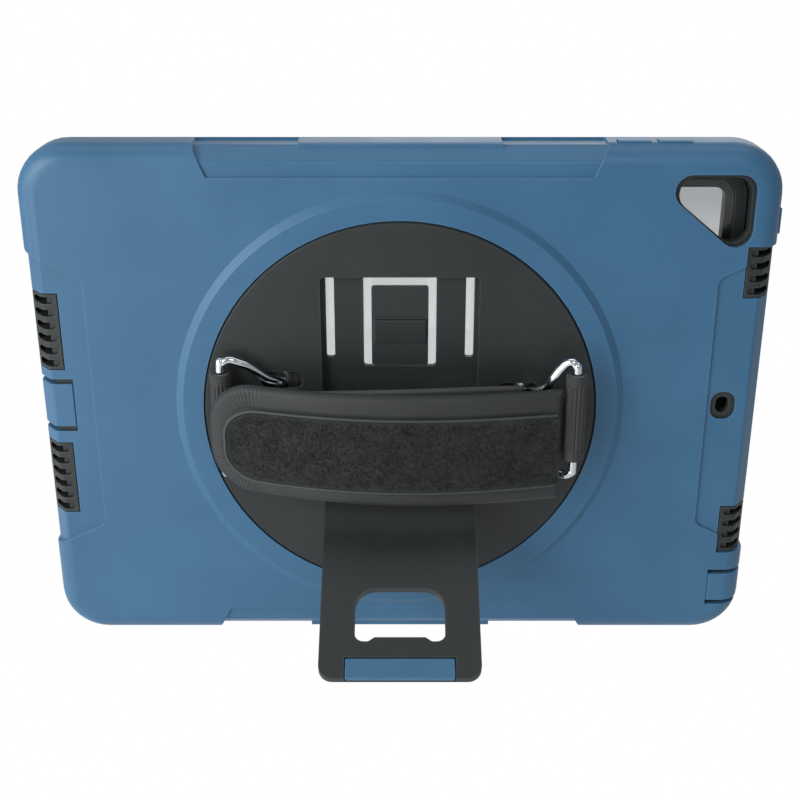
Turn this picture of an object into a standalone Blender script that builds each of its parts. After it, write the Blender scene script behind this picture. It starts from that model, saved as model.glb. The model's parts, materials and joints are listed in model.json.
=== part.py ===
"""Rugged tablet case: soft outer skin, hard inner shell, front frame, turntable, kickstand and hand strap.

The case stands upright on its long bottom edge. X runs along that edge, Z is up, and the back faces -Y.
The origin is on the middle of the bottom edge. Lengths are in millimetres and are turned into metres
where a mesh is made. Pieces are drawn with y = 0 in the plane of the flat back, and their parent,
the empty named case_origin, moves them back by ORIGIN_Y.
"""
import math

import bmesh
import bpy
from mathutils import Matrix, Vector

MM = 0.001
GAP = 0.3  # clearance between two pieces that touch
ORIGIN_Y = 10.0  # origin's distance from the flat back
TINY = 1e-6  # merge distance in metres

# Tablet that the case holds
TABLET_W, TABLET_H, TABLET_T, TABLET_R = 250.6, 174.1, 6.1, 9.0
POCKET_GAP = 0.4

# Outer skin
SKIN_SIDE = 7.2
SKIN_BACK = 1.8
SKIN_FRONT_Y = 19.0
SKIN_CORNER_R = 18.0
BACK_EDGE_R, FRONT_EDGE_R = 7.8, 2.9
RECESS = 0.95  # depth of the recessed panels
WALL_RUN, WALL_DEPTH, WALL_EDGE_R = 4.9, 6.0, 1.0  # sloping wall beside the recessed panels
RECESS_END_Y = 15.6
BLOCK_START_Y = 5.3
SIDE_PANEL_X, SIDE_PANEL_LOW, SIDE_PANEL_HIGH = 21.2, 49.6, 48.1
END_PANEL_HALF, END_PANEL_DEPTH, END_BLOCK_HALF = 68.0, 11.3, 36.0

# Inner shell
SHELL_WALL = 2.8
SHELL_BACK = 3.0
SHELL_RIM_Y = 14.0
LIP_THICK = 1.2

# Turntable
DISC_DROP = 1.0  # its centre below the middle of the case
DISC_R = 73.0
PLATEAU_R, PLATEAU_FOOT_R, PLATEAU_H = 81.0, 83.7, 2.0
HUB_R = 65.7
HUB_LENGTH = 1.5
DISC_THICK = PLATEAU_H + SKIN_BACK
RETAINER_IN_R, RETAINER_OUT_R, RETAINER_THICK = 61.6, 71.2, 1.0
SCREW_COUNT, SCREW_CIRCLE_R, SCREW_HEAD_R, SCREW_R, SCREW_DEPTH = 6, 63.6, 1.7, 0.9, 3.2

# Kickstand
LEG_LENGTH, LEG_HALF, LEG_THICK = 82.0, 28.4, 2.8
LEG_OPEN_DEG = 119.5
HINGE_DROP = 30.0  # pin below the centre of the disc
BARREL_R, PIN_R, PIN_REACH = 1.9, 0.9, 3.6
LEG_CORNER_R = 4.9
HOLE_HALF, HOLE_LOW, HOLE_HIGH, HOLE_R = 16.0, 14.2, 35.2, 7.5
CATCH_HALF, CATCH_RISE = 9.0, 1.6  # raised middle of the hole's edge, which the latch step holds
PAD_HALF, PAD_LENGTH, PAD_THICK = 19.1, 7.7, 1.9
RECESS_TOP = 52.6
STOP_DROP = 3.7  # edge of the recess below the pin, where the open leg stops

# Latch tongue and the slots beside it
TONGUE_HALF, TONGUE_ROOT, TONGUE_TIP, TONGUE_SLOT = 10.4, 18.0, 48.4, 2.9
STEP_LENGTH, STEP_START, STEP_RISE = 9.6, 0.9, 2.2
SIDE_SLOT_IN, SIDE_SLOT_OUT, SIDE_SLOT_LOW = 23.95, 27.05, 21.1

# Strap rings
WIRE_R = 1.65
RING_BAR_Y = 1.6
LEFT_PIVOT_X, RIGHT_PIVOT_X = -43.2, 46.7
RIGHT_RING_TILT_DEG = 25.0
RING_REACH, RING_RISE = 22.5, 8.5
RIGHT_LEAN, LEAN_START = 2.8, 14.0  # the right ring's outer bar sits higher than its inner bar
NOTCH_IN, NOTCH_OUT = 35.8, 51.4
NOTCHES = {"left": (9.8, 16.4), "right": (5.4, 12.0)}
BRIDGE_THICK = 1.5

# Hand strap
STRAP_LEFT, STRAP_RIGHT = -69.5, 58.6
STRAP_LEFT_Y, STRAP_RIGHT_Y, STRAP_BOW = -15.0, -19.0, 10.0
STRAP_THICK, PATCH_THICK, UNDER_THICK = 4.6, 0.9, 2.0
STRAP_TOP, STRAP_TOP_SLOPE = 17.2, -1.9
STRAP_LOW, STRAP_LOW_SLOPE, STRAP_LOW_SAG, STRAP_END_R = -24.4, -3.2, 0.8, 16.0
PATCH_LEFT, PATCH_TOP, PATCH_LOW, PATCH_SLOPE, PATCH_END_R = -63.4, 8.4, -18.6, -2.2, 12.6
LINING_TOP, LINING_DIP = 1.2, 4.0
SLEEVE_R, SLEEVE_BORE_R, SLEEVE_HALF, SLEEVE_LIFT = 3.9, 2.0, 16.6, 1.2
TAB_LENGTH, TAB_THICK, TAB_HALF = 18.0, 1.6, 11.0

# Front frame and film
SCREEN_HALF_W, SCREEN_HALF_H, SCREEN_R = 117.5, 81.0, 4.0
FRAME_THICK, FILM_THICK, FILM_MARGIN = 6.0, 0.5, 3.0
KEY_X, KEY_R = -115.9, 7.2  # finger hole over the tablet's round key

# Openings near the edges, measured from the bottom edge of the case
GRILLE_IN, GRILLE_FRONT_Y, SLAT_PITCH, SLAT_GAP, SLAT_END = 124.6, 12.0, 4.8, 2.5, 1.0
GRILLES = {
    "left_upper_grille": (-1, 113.6, 142.8),
    "left_lower_grille": (-1, 54.5, 83.6),
    "right_upper_grille": (1, 141.5, 160.3),
    "right_lower_grille": (1, 37.0, 56.6),
}
COVERS = {"charge_port_cover": (-1, 90.5, 107.8), "audio_port_cover": (1, 15.3, 27.2)}
COVER_IN, COVER_SLIT, COVER_FRONT_Y = 122.2, 1.9, 14.0
BUTTON_Y, BUTTON_HALF_Y, BUTTON_PROUD, STEM_HALF_Y = 8.2, 2.2, 0.6, 1.2
VOLUME_BUTTONS = {"volume_down_button": (76.5, 87.8), "volume_up_button": (90.8, 102.3)}
POWER_LOW, POWER_HIGH = 163.9, 173.4
MIC_X, MIC_Z, MIC_HALF_X, MIC_HALF_Z = 121.1, 99.1, 4.6, 5.5
WINDOW_TOP_FROM_EDGE, WINDOW_SIDE_FROM_EDGE = 10.3, 10.5
WINDOW_WIDTH, WINDOW_HEIGHT, WINDOW_R, WINDOW_RIM = 39.6, 32.9, 6.0, 1.2

# Derived sizes
POCKET_W, POCKET_H = TABLET_W + 2 * POCKET_GAP, TABLET_H + 2 * POCKET_GAP
SHELL_W, SHELL_H = POCKET_W + 2 * SHELL_WALL, POCKET_H + 2 * SHELL_WALL
CASE_W, CASE_H = SHELL_W + 2 * (SKIN_SIDE + GAP), SHELL_H + 2 * (SKIN_SIDE + GAP) + 1.3
MID_Z = CASE_H / 2
DISC_Z = MID_Z - DISC_DROP
HINGE_Z = DISC_Z - HINGE_DROP
HINGE_Y = BARREL_R - PLATEAU_H
SHELL_Y = SKIN_BACK + GAP
POCKET_Y = SHELL_Y + SHELL_BACK
FRAME_Y = POCKET_Y + GAP + TABLET_T + GAP
LIP_Y = SHELL_Y + LIP_THICK
RETAINER_Y = LIP_Y + GAP
HUB_Y = SKIN_BACK + HUB_LENGTH
LEG_FLOOR_Y = LEG_THICK + 0.1 - PLATEAU_H + GAP
STEP_HIGH = LEG_LENGTH - HINGE_DROP - HOLE_LOW - CATCH_RISE - GAP


def clear_scene():
    """Remove what is in the scene and give it one collection for parts and one for cutters."""
    for item in list(bpy.data.objects):
        bpy.data.objects.remove(item)
    for name in ("tablet_case", "cutters"):
        if name not in bpy.data.collections:
            bpy.context.scene.collection.children.link(bpy.data.collections.new(name))


def material(name, colour, roughness, metallic=0.0):
    """A plain Principled material."""
    made = bpy.data.materials.new(name)
    made.use_nodes = True
    shader = made.node_tree.nodes["Principled BSDF"]
    shader.inputs["Base Color"].default_value = (*colour, 1.0)
    shader.inputs["Roughness"].default_value = roughness
    shader.inputs["Metallic"].default_value = metallic
    return made


def place(name, mesh, collection):
    """Put a mesh into a collection as an object."""
    item = bpy.data.objects.new(name, mesh)
    bpy.data.collections[collection].objects.link(item)
    if collection == "cutters":
        item.hide_render = True
        item.display_type = "WIRE"
    return item


def from_bmesh(name, bm, collection):
    """Finish a bmesh given in millimetres."""
    bmesh.ops.scale(bm, vec=(MM, MM, MM), verts=bm.verts)
    mesh = bpy.data.meshes.new(name)
    bm.to_mesh(mesh)
    bm.free()
    return place(name, mesh, collection)


def box(name, low, high, collection="cutters"):
    """A box between two corners."""
    low, high = Vector(low), Vector(high)
    bm = bmesh.new()
    bmesh.ops.create_cube(bm, size=1.0)
    bmesh.ops.scale(bm, vec=high - low, verts=bm.verts)
    bmesh.ops.translate(bm, vec=(low + high) / 2, verts=bm.verts)
    return from_bmesh(name, bm, collection)


def cylinder(name, start, end, radius, collection="cutters", end_radius=None, segments=32):
    """A round bar or cone from start to end."""
    start, end = Vector(start), Vector(end)
    along = end - start
    bm = bmesh.new()
    bmesh.ops.create_cone(
        bm, cap_ends=True, segments=segments, radius1=radius,
        radius2=radius if end_radius is None else end_radius, depth=along.length,
    )
    turn = Vector((0, 0, 1)).rotation_difference(along).to_matrix().to_4x4()
    bmesh.ops.transform(bm, matrix=Matrix.Translation((start + end) / 2) @ turn, verts=bm.verts)
    return from_bmesh(name, bm, collection)


def rounded(corners, steps=6):
    """An outline whose corners, given as (x, z, radius), are arcs."""
    points = []
    count = len(corners)
    for i, (x, z, radius) in enumerate(corners):
        here = Vector((x, z))
        before = (Vector(corners[i - 1][:2]) - here).normalized()
        after = (Vector(corners[(i + 1) % count][:2]) - here).normalized()
        if radius <= 0:
            points.append(here)
            continue
        half = before.angle(after) / 2
        middle = here + (before + after).normalized() * radius / math.sin(half)
        first = here + before * radius / math.tan(half) - middle
        last = here + after * radius / math.tan(half) - middle
        sweep = first.angle_signed(last)
        for k in range(steps + 1):
            angle = -sweep * k / steps
            turned = Matrix.Rotation(angle, 2) @ first
            points.append(middle + turned)
    return points


def rectangle(x_low, x_high, z_low, z_high, radius, steps=6):
    """A rectangle with round corners."""
    ends = ((x_low, z_low), (x_high, z_low), (x_high, z_high), (x_low, z_high))
    return rounded([(x, z, radius) for x, z in ends], steps)


def centred(width, height, radius, steps=6):
    """A round-cornered rectangle about the middle of the case."""
    return rectangle(-width / 2, width / 2, MID_Z - height / 2, MID_Z + height / 2, radius, steps)


def plate(name, outlines, y_low, y_high, collection="cutters"):
    """A flat plate with the given outlines in the XZ plane; inner outlines are holes."""
    if not isinstance(outlines[0], list):
        outlines = [outlines]
    curve = bpy.data.curves.new(name, "CURVE")
    curve.dimensions = "2D"
    curve.fill_mode = "BOTH"
    curve.extrude = (y_high - y_low) / 2 * MM
    for outline in outlines:
        spline = curve.splines.new("POLY")
        spline.points.add(len(outline) - 1)
        for point, (x, z) in zip(spline.points, outline):
            point.co = (x * MM, z * MM, 0, 1)
        spline.use_cyclic_u = True
    flat = place(name + "_curve", curve, "cutters")
    flat.rotation_euler = (math.pi / 2, 0, 0)
    flat.location = (0, (y_low + y_high) / 2 * MM, 0)
    bpy.context.view_layer.update()
    mesh = bpy.data.meshes.new_from_object(flat.evaluated_get(bpy.context.evaluated_depsgraph_get()))
    mesh.transform(flat.matrix_world)
    bpy.data.objects.remove(flat)
    bm = bmesh.new()
    bm.from_mesh(mesh)
    bmesh.ops.remove_doubles(bm, verts=bm.verts, dist=TINY)
    if len(outlines) == 1:
        bmesh.ops.dissolve_limit(bm, angle_limit=0.001, verts=bm.verts, edges=bm.edges)
    bmesh.ops.recalc_face_normals(bm, faces=bm.faces)
    bm.to_mesh(mesh)
    bm.free()
    mesh.name = name
    return place(name, mesh, collection)


def wire(name, points, radius):
    """A closed round wire through the points."""
    curve = bpy.data.curves.new(name, "CURVE")
    curve.dimensions = "3D"
    curve.bevel_depth = radius * MM
    curve.bevel_resolution = 2
    spline = curve.splines.new("POLY")
    spline.points.add(len(points) - 1)
    for point, place_mm in zip(spline.points, points):
        point.co = (*(Vector(place_mm) * MM), 1)
    spline.use_cyclic_u = True
    ring = place(name, curve, "tablet_case")
    modify(ring, "TRIANGULATE", "flat_faces")
    return ring


def modify(item, kind, name, **values):
    """Add a modifier and set its values."""
    modifier = item.modifiers.new(name, kind)
    for key, value in values.items():
        setattr(modifier, key, value)
    return modifier


def combine(item, other, operation="DIFFERENCE"):
    """Cut, join or intersect an object with a cutter."""
    modify(item, "BOOLEAN", other.name, object=other, operation=operation, solver="EXACT")


def cut(item, *cutters):
    for cutter in cutters:
        combine(item, cutter)


def join(item, *others):
    for other in others:
        combine(item, other, "UNION")


def soften(item, width, segments=2, angle_deg=40):
    """Round the sharp edges."""
    modify(item, "BEVEL", "rounded_edges", width=width * MM, segments=segments,
           limit_method="ANGLE", angle_limit=math.radians(angle_deg))


def finish(item, colour_material):
    item.data.materials.clear()
    item.data.materials.append(colour_material)
    return item


def smooth_arc(points, steps=4):
    """Points of a smooth closed curve through the given ones (Catmull-Rom)."""
    made = []
    count = len(points)
    for i in range(count):
        a, b, c, d = (Vector(points[(i + k - 1) % count]) for k in range(4))
        for k in range(steps):
            t = k / steps
            made.append(0.5 * (2 * b + (c - a) * t + (2 * a - 5 * b + 4 * c - d) * t * t
                               + (3 * b - a - 3 * c + d) * t ** 3))
    return made


# ---------------------------------------------------------------- outer skin


def quarter(radius, steps, front):
    """Sections of a rounded edge: (set in, distance along y), from the face or towards it."""
    made = []
    for k in range(steps + 1):
        angle = math.pi / 2 * k / steps
        if front:
            made.append((radius * (1 - math.cos(angle)), -radius * (1 - math.sin(angle))))
        else:
            made.append((radius * (1 - math.sin(angle)), radius * (1 - math.cos(angle))))
    return made


def between(first, corner, last, steps):
    """Points of a curve that rounds a corner between two points."""
    for k in range(steps + 1):
        t = k / steps
        yield tuple(a * (1 - t) ** 2 + 2 * b * t * (1 - t) + c * t ** 2 for a, b, c in zip(first, corner, last))


def wall_profile():
    """Sections of the sloping wall between a recessed panel and the side of the case."""
    slope = math.atan2(WALL_DEPTH, WALL_RUN)
    along, across = WALL_EDGE_R * math.cos(slope), WALL_EDGE_R * math.sin(slope)
    top = between((WALL_RUN + WALL_EDGE_R, 0), (WALL_RUN, 0), (WALL_RUN - along, across), 3)
    foot = between((along, WALL_DEPTH - across), (0, WALL_DEPTH), (0, WALL_DEPTH + WALL_EDGE_R), 2)
    return [*top, *foot]


def lofted(name, outline_inset, back, y_low, y_high, collection="cutters"):
    """The case's outline, set in by outline_inset, drawn through the sections of its back and front edges."""
    sections = [(inset, y_low + y) for inset, y in back]
    sections += [(inset, y_high + y) for inset, y in quarter(FRONT_EDGE_R, 3, True)]
    bm = bmesh.new()
    loops = []
    for inset, y in sections:
        total = inset + outline_inset
        outline = centred(CASE_W - 2 * total, CASE_H - 2 * total, SKIN_CORNER_R - total, 10)
        loops.append([bm.verts.new((x, y, z)) for x, z in outline])
    count = len(loops[0])
    for low, high in zip(loops, loops[1:]):
        for k in range(count):
            bm.faces.new((low[k], low[(k + 1) % count], high[(k + 1) % count], high[k]))
    bm.faces.new(loops[0])
    bm.faces.new(loops[-1])
    bmesh.ops.recalc_face_normals(bm, faces=bm.faces)
    return from_bmesh(name, bm, collection)


def case_core(name):
    """The case's shape in its recessed panels."""
    return lofted(name, RECESS, wall_profile(), RECESS, SKIN_FRONT_Y - RECESS)


def panel_cutters():
    """Prisms that leave the recessed panels between the corner bumpers."""
    y_low, y_high = -1.0, RECESS_END_Y
    half_w, far = CASE_W / 2, 30.0
    slope = 0.48
    cutters = []
    for side in (-1, 1):
        inner = half_w - SIDE_PANEL_X
        run = SIDE_PANEL_X + far
        corners = [
            (side * inner, SIDE_PANEL_LOW, 4.0), (side * inner, CASE_H - SIDE_PANEL_HIGH, 4.0),
            (side * (inner + run), CASE_H - SIDE_PANEL_HIGH + slope * run, 0),
            (side * (inner + run), SIDE_PANEL_LOW - slope * run, 0),
        ]
        cutters.append(plate(f"side_panel_{side}", rounded(corners), y_low, y_high))
    for edge_z, way in ((0.0, 1), (CASE_H, -1)):
        deep, lean = edge_z + way * END_PANEL_DEPTH, 0.45
        out = edge_z - way * far
        spread = END_PANEL_HALF + lean * (END_PANEL_DEPTH + far)
        corners = [
            (-END_PANEL_HALF, deep, 1.0), (END_PANEL_HALF, deep, 1.0), (spread, out, 0), (-spread, out, 0),
        ]
        cutter = plate(f"end_panel_{way}", rounded(corners), y_low, y_high)
        block_low, block_high = sorted((edge_z - way * (far + 1), edge_z + way * (RECESS + 1.5)))
        cut(cutter, box(f"end_block_{way}", (-END_BLOCK_HALF, BLOCK_START_Y, block_low),
                        (END_BLOCK_HALF, y_high + 1, block_high)))
        cutters.append(cutter)
    return cutters


def skin_blank(name, collection):
    """The skin before its openings: bumpers over a slab that is set in, hollowed for the shell."""
    bumpers = lofted(name + "_bumpers", 0.0, quarter(BACK_EDGE_R, 6, False), 0, SKIN_FRONT_Y)
    cut(bumpers, *panel_cutters())
    core = case_core(name + "_core")
    plateau = cylinder(name + "_plateau", (0, RECESS, DISC_Z), (0, -PLATEAU_H, DISC_Z),
                       PLATEAU_FOOT_R + (PLATEAU_FOOT_R - PLATEAU_R) * RECESS / PLATEAU_H,
                       end_radius=PLATEAU_R, segments=96)
    shell_room = plate(name + "_shell_room",
                       centred(SHELL_W + 2 * GAP, SHELL_H + 2 * GAP, TABLET_R + SHELL_WALL + GAP),
                       SKIN_BACK, SHELL_RIM_Y + GAP)
    mouth = plate(name + "_mouth", centred(TABLET_W + GAP, TABLET_H + GAP, TABLET_R),
                  SHELL_RIM_Y - 1, SKIN_FRONT_Y + 1)
    blank = place(name, bpy.data.meshes.new(name), collection)
    join(blank, bumpers, core, plateau)
    cut(blank, shell_room, mouth)
    return blank


def window_outline(rim=0.0):
    """Rounded triangle of the camera window, in the upper corner of the case."""
    right = CASE_W / 2 - WINDOW_SIDE_FROM_EDGE - rim
    top = CASE_H - WINDOW_TOP_FROM_EDGE - rim
    shrink = 2.4 * rim
    return rounded([(right, top, WINDOW_R), (right, top - WINDOW_HEIGHT + shrink, WINDOW_R),
                    (right - WINDOW_WIDTH + shrink, top, WINDOW_R)])


def outer_skin(blue):
    skin = skin_blank("outer_skin", "tablet_case")
    cut(skin, cylinder("skin_disc_hole", (0, -PLATEAU_H - 1, DISC_Z), (0, SHELL_Y, DISC_Z), DISC_R + GAP,
                       segments=96))
    cut(skin, plate("skin_window", window_outline(), -1, SHELL_Y))
    far = CASE_W / 2 + 1
    for name, (side, low, high) in GRILLES.items():
        ends = sorted((side * (GRILLE_IN - GAP), side * far))
        cut(skin, box("skin_" + name, (ends[0], -1, low - GAP), (ends[1], GRILLE_FRONT_Y + GAP, high + GAP)))
    for name, (side, low, high) in COVERS.items():
        ends = sorted((side * (COVER_IN - GAP), side * far))
        cut(skin, box("skin_" + name, (ends[0], -1, low - COVER_SLIT),
                      (ends[1], COVER_FRONT_Y + GAP, high + COVER_SLIT)))
    for name, (left, right) in VOLUME_BUTTONS.items():
        cut(skin, box("skin_" + name, (left - GAP, BUTTON_Y - BUTTON_HALF_Y - GAP, MID_Z + SHELL_H / 2),
                      (right + GAP, BUTTON_Y + BUTTON_HALF_Y + GAP, CASE_H + 1)))
    cut(skin, box("skin_power", (SHELL_W / 2, BUTTON_Y - BUTTON_HALF_Y - GAP, POWER_LOW - GAP),
                  (far, BUTTON_Y + BUTTON_HALF_Y + GAP, POWER_HIGH + GAP)))
    cut(skin, plate("skin_mic_hole", rectangle(MIC_X - MIC_HALF_X, MIC_X + MIC_HALF_X, MIC_Z - MIC_HALF_Z,
                                               MIC_Z + MIC_HALF_Z, 4.0), -1, SHELL_Y))
    finish(skin, blue)


def port_covers(blue):
    """Flaps cut from the skin, each bending along a line on the back."""
    for name, (side, low, high) in COVERS.items():
        cover = skin_blank(name, "tablet_case")
        ends = sorted((side * COVER_IN, side * (CASE_W / 2 + 1)))
        combine(cover, box(name + "_part", (ends[0], -1, low), (ends[1], COVER_FRONT_Y, high)), "INTERSECT")
        finish(cover, blue)


def speaker_grilles(black):
    """Ribbed blocks that fill the skin's windows over the speakers, shaped like the case's side."""
    outer, inner = CASE_W / 2 - RECESS, SHELL_W / 2 + GAP
    for name, (side, low, high) in GRILLES.items():
        ends = sorted((side * (outer + 2), side * inner))
        block = box(name, (ends[0], -1, low), (ends[1], GRILLE_FRONT_Y, high), "tablet_case")
        ends = sorted((side * (inner + 1), side * GRILLE_IN))
        join(block, box(name + "_cover", (ends[0], -1, low), (ends[1], SKIN_BACK, high)))
        combine(block, case_core(name + "_shape"), "INTERSECT")
        count = round((high - low) / SLAT_PITCH)
        ends = sorted((side * (outer - SLAT_END), side * (GRILLE_IN + SLAT_END + 0.3)))
        for k in range(count):
            z = low + (high - low) * (k + 0.5) / count
            slot = rectangle(*ends, z - SLAT_GAP / 2, z + SLAT_GAP / 2, SLAT_GAP / 2 - 0.05, 3)
            cut(block, plate(f"{name}_slot_{k}", slot, -1, GRILLE_FRONT_Y - 3))
        finish(block, black)


def buttons(blue):
    """Soft keys in the skin, each with a stem that reaches the tablet."""
    stem_end = MID_Z + POCKET_H / 2 + GAP + 0.5
    cap_low = MID_Z + SHELL_H / 2 + 2.0
    for name, (left, right) in VOLUME_BUTTONS.items():
        key = box(name, (left, BUTTON_Y - BUTTON_HALF_Y, cap_low),
                  (right, BUTTON_Y + BUTTON_HALF_Y, CASE_H + BUTTON_PROUD), "tablet_case")
        join(key, box(name + "_stem", (left + 2, BUTTON_Y - STEM_HALF_Y, stem_end),
                      (right - 2, BUTTON_Y + STEM_HALF_Y, cap_low + 1)))
        soften(key, 0.4, 2)
        finish(key, blue)
    key = box("power_button", (SHELL_W / 2 + 2.0, BUTTON_Y - BUTTON_HALF_Y, POWER_LOW),
              (CASE_W / 2 + BUTTON_PROUD, BUTTON_Y + BUTTON_HALF_Y, POWER_HIGH), "tablet_case")
    join(key, box("power_stem", (POCKET_W / 2 + GAP + 0.5, BUTTON_Y - STEM_HALF_Y, POWER_LOW + 2),
                  (SHELL_W / 2 + 3.0, BUTTON_Y + STEM_HALF_Y, POWER_HIGH - 2)))
    soften(key, 0.4, 2)
    finish(key, blue)


# ---------------------------------------------------------------- hard shells


def inner_shell(black):
    shell = plate("inner_back_shell", centred(SHELL_W, SHELL_H, TABLET_R + SHELL_WALL), SHELL_Y, SHELL_RIM_Y,
                  "tablet_case")
    cut(shell, plate("pocket", centred(POCKET_W, POCKET_H, TABLET_R + POCKET_GAP), POCKET_Y, SHELL_RIM_Y + 1))
    cut(shell, cylinder("shell_hub_hole", (0, SHELL_Y - 1, DISC_Z), (0, POCKET_Y + 1, DISC_Z), HUB_R + GAP,
                        segments=96))
    cut(shell, cylinder("shell_retainer_seat", (0, LIP_Y, DISC_Z), (0, POCKET_Y + 1, DISC_Z),
                        RETAINER_OUT_R + 0.8, segments=96))
    cut(shell, plate("shell_window", window_outline(WINDOW_RIM), SHELL_Y - 1, POCKET_Y + 1))
    cut(shell, plate("shell_mic_hole", rectangle(MIC_X - 2.5, MIC_X + 2.5, MIC_Z - 3.3, MIC_Z + 3.3, 2.4),
                     SHELL_Y - 1, POCKET_Y + 1))
    port_y = (BUTTON_Y - 2.0, BUTTON_Y + 2.4)
    for name, (side, low, high) in {**GRILLES, **COVERS}.items():
        ends = sorted((side * (POCKET_W / 2 - 1), side * (SHELL_W / 2 + 1)))
        cut(shell, box("shell_" + name, (ends[0], port_y[0], low + 3), (ends[1], port_y[1], high - 3)))
    for name, (left, right) in VOLUME_BUTTONS.items():
        cut(shell, box("shell_" + name, (left + 1, BUTTON_Y - STEM_HALF_Y - 0.8, MID_Z + POCKET_H / 2 - 1),
                       (right - 1, BUTTON_Y + STEM_HALF_Y + 0.8, MID_Z + SHELL_H / 2 + 1)))
    cut(shell, box("shell_power", (POCKET_W / 2 - 1, BUTTON_Y - STEM_HALF_Y - 0.8, POWER_LOW + 1),
                   (SHELL_W / 2 + 1, BUTTON_Y + STEM_HALF_Y + 0.8, POWER_HIGH - 1)))
    finish(shell, black)


def front_frame(black, clear):
    """Bezel that closes the pocket, with its film in a rebate on the inner side."""
    width, height = TABLET_W - GAP, TABLET_H - GAP
    film_w, film_h = SCREEN_HALF_W + FILM_MARGIN, SCREEN_HALF_H + FILM_MARGIN
    screen = centred(2 * SCREEN_HALF_W, 2 * SCREEN_HALF_H, SCREEN_R)
    outside = centred(width, height, TABLET_R - GAP)
    frame = plate("front_frame", [outside, screen], FRAME_Y, FRAME_Y + FRAME_THICK, "tablet_case")
    rebate = centred(2 * (film_w + GAP), 2 * (film_h + GAP), SCREEN_R + FILM_MARGIN)
    cut(frame, plate("film_rebate", rebate, FRAME_Y - 1, FRAME_Y + FILM_THICK + 2 * GAP))
    key_ends = ((KEY_X, FRAME_Y - 1, MID_Z), (KEY_X, FRAME_Y + FRAME_THICK + 1, MID_Z))
    cut(frame, cylinder("key_hole", *key_ends, KEY_R))
    finish(frame, black)
    sheet = centred(2 * film_w, 2 * film_h, SCREEN_R + FILM_MARGIN - GAP)
    film = plate("screen_protector", sheet, FRAME_Y + GAP, FRAME_Y + GAP + FILM_THICK, "tablet_case")
    cut(film, cylinder("key_notch", *key_ends, KEY_R + GAP))
    finish(film, clear)


# ---------------------------------------------------------------- turntable


def turned_disc(name, profile, collection, steps=96):
    """A profile of (radius, y) points turned about the turntable's axis."""
    bm = bmesh.new()
    rim = [bm.verts.new((radius, y, 0)) for radius, y in profile]
    for a, b in zip(rim, rim[1:]):
        bm.edges.new((a, b))
    item = from_bmesh(name, bm, collection)
    item.location = (0, 0, DISC_Z * MM)
    modify(item, "SCREW", "turned", axis="Y", steps=steps, render_steps=steps, angle=math.tau,
           use_merge_vertices=True, merge_threshold=TINY, use_normal_calculate=True)
    return item


def ring_room(name, side):
    """Cuts for one strap ring: two notches in the face and a channel behind the bridge."""
    ends = sorted((side * NOTCH_IN, side * NOTCH_OUT))
    low, high = NOTCHES[name]
    for way in (-1, 1):
        z = sorted((DISC_Z + way * low, DISC_Z + way * high))
        yield plate(f"{name}_notch_{way}", rectangle(*ends, *z, 3.0), -PLATEAU_H - 1, HUB_Y + 1)
    yield box(name + "_channel", (ends[0], BRIDGE_THICK - PLATEAU_H, DISC_Z - high + 2),
              (ends[1], HUB_Y + 1, DISC_Z + high - 2))


def screw_places():
    for k in range(SCREW_COUNT):
        angle = math.tau * (k + 0.5) / SCREW_COUNT
        yield k + 1, SCREW_CIRCLE_R * math.cos(angle), DISC_Z + SCREW_CIRCLE_R * math.sin(angle)


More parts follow.
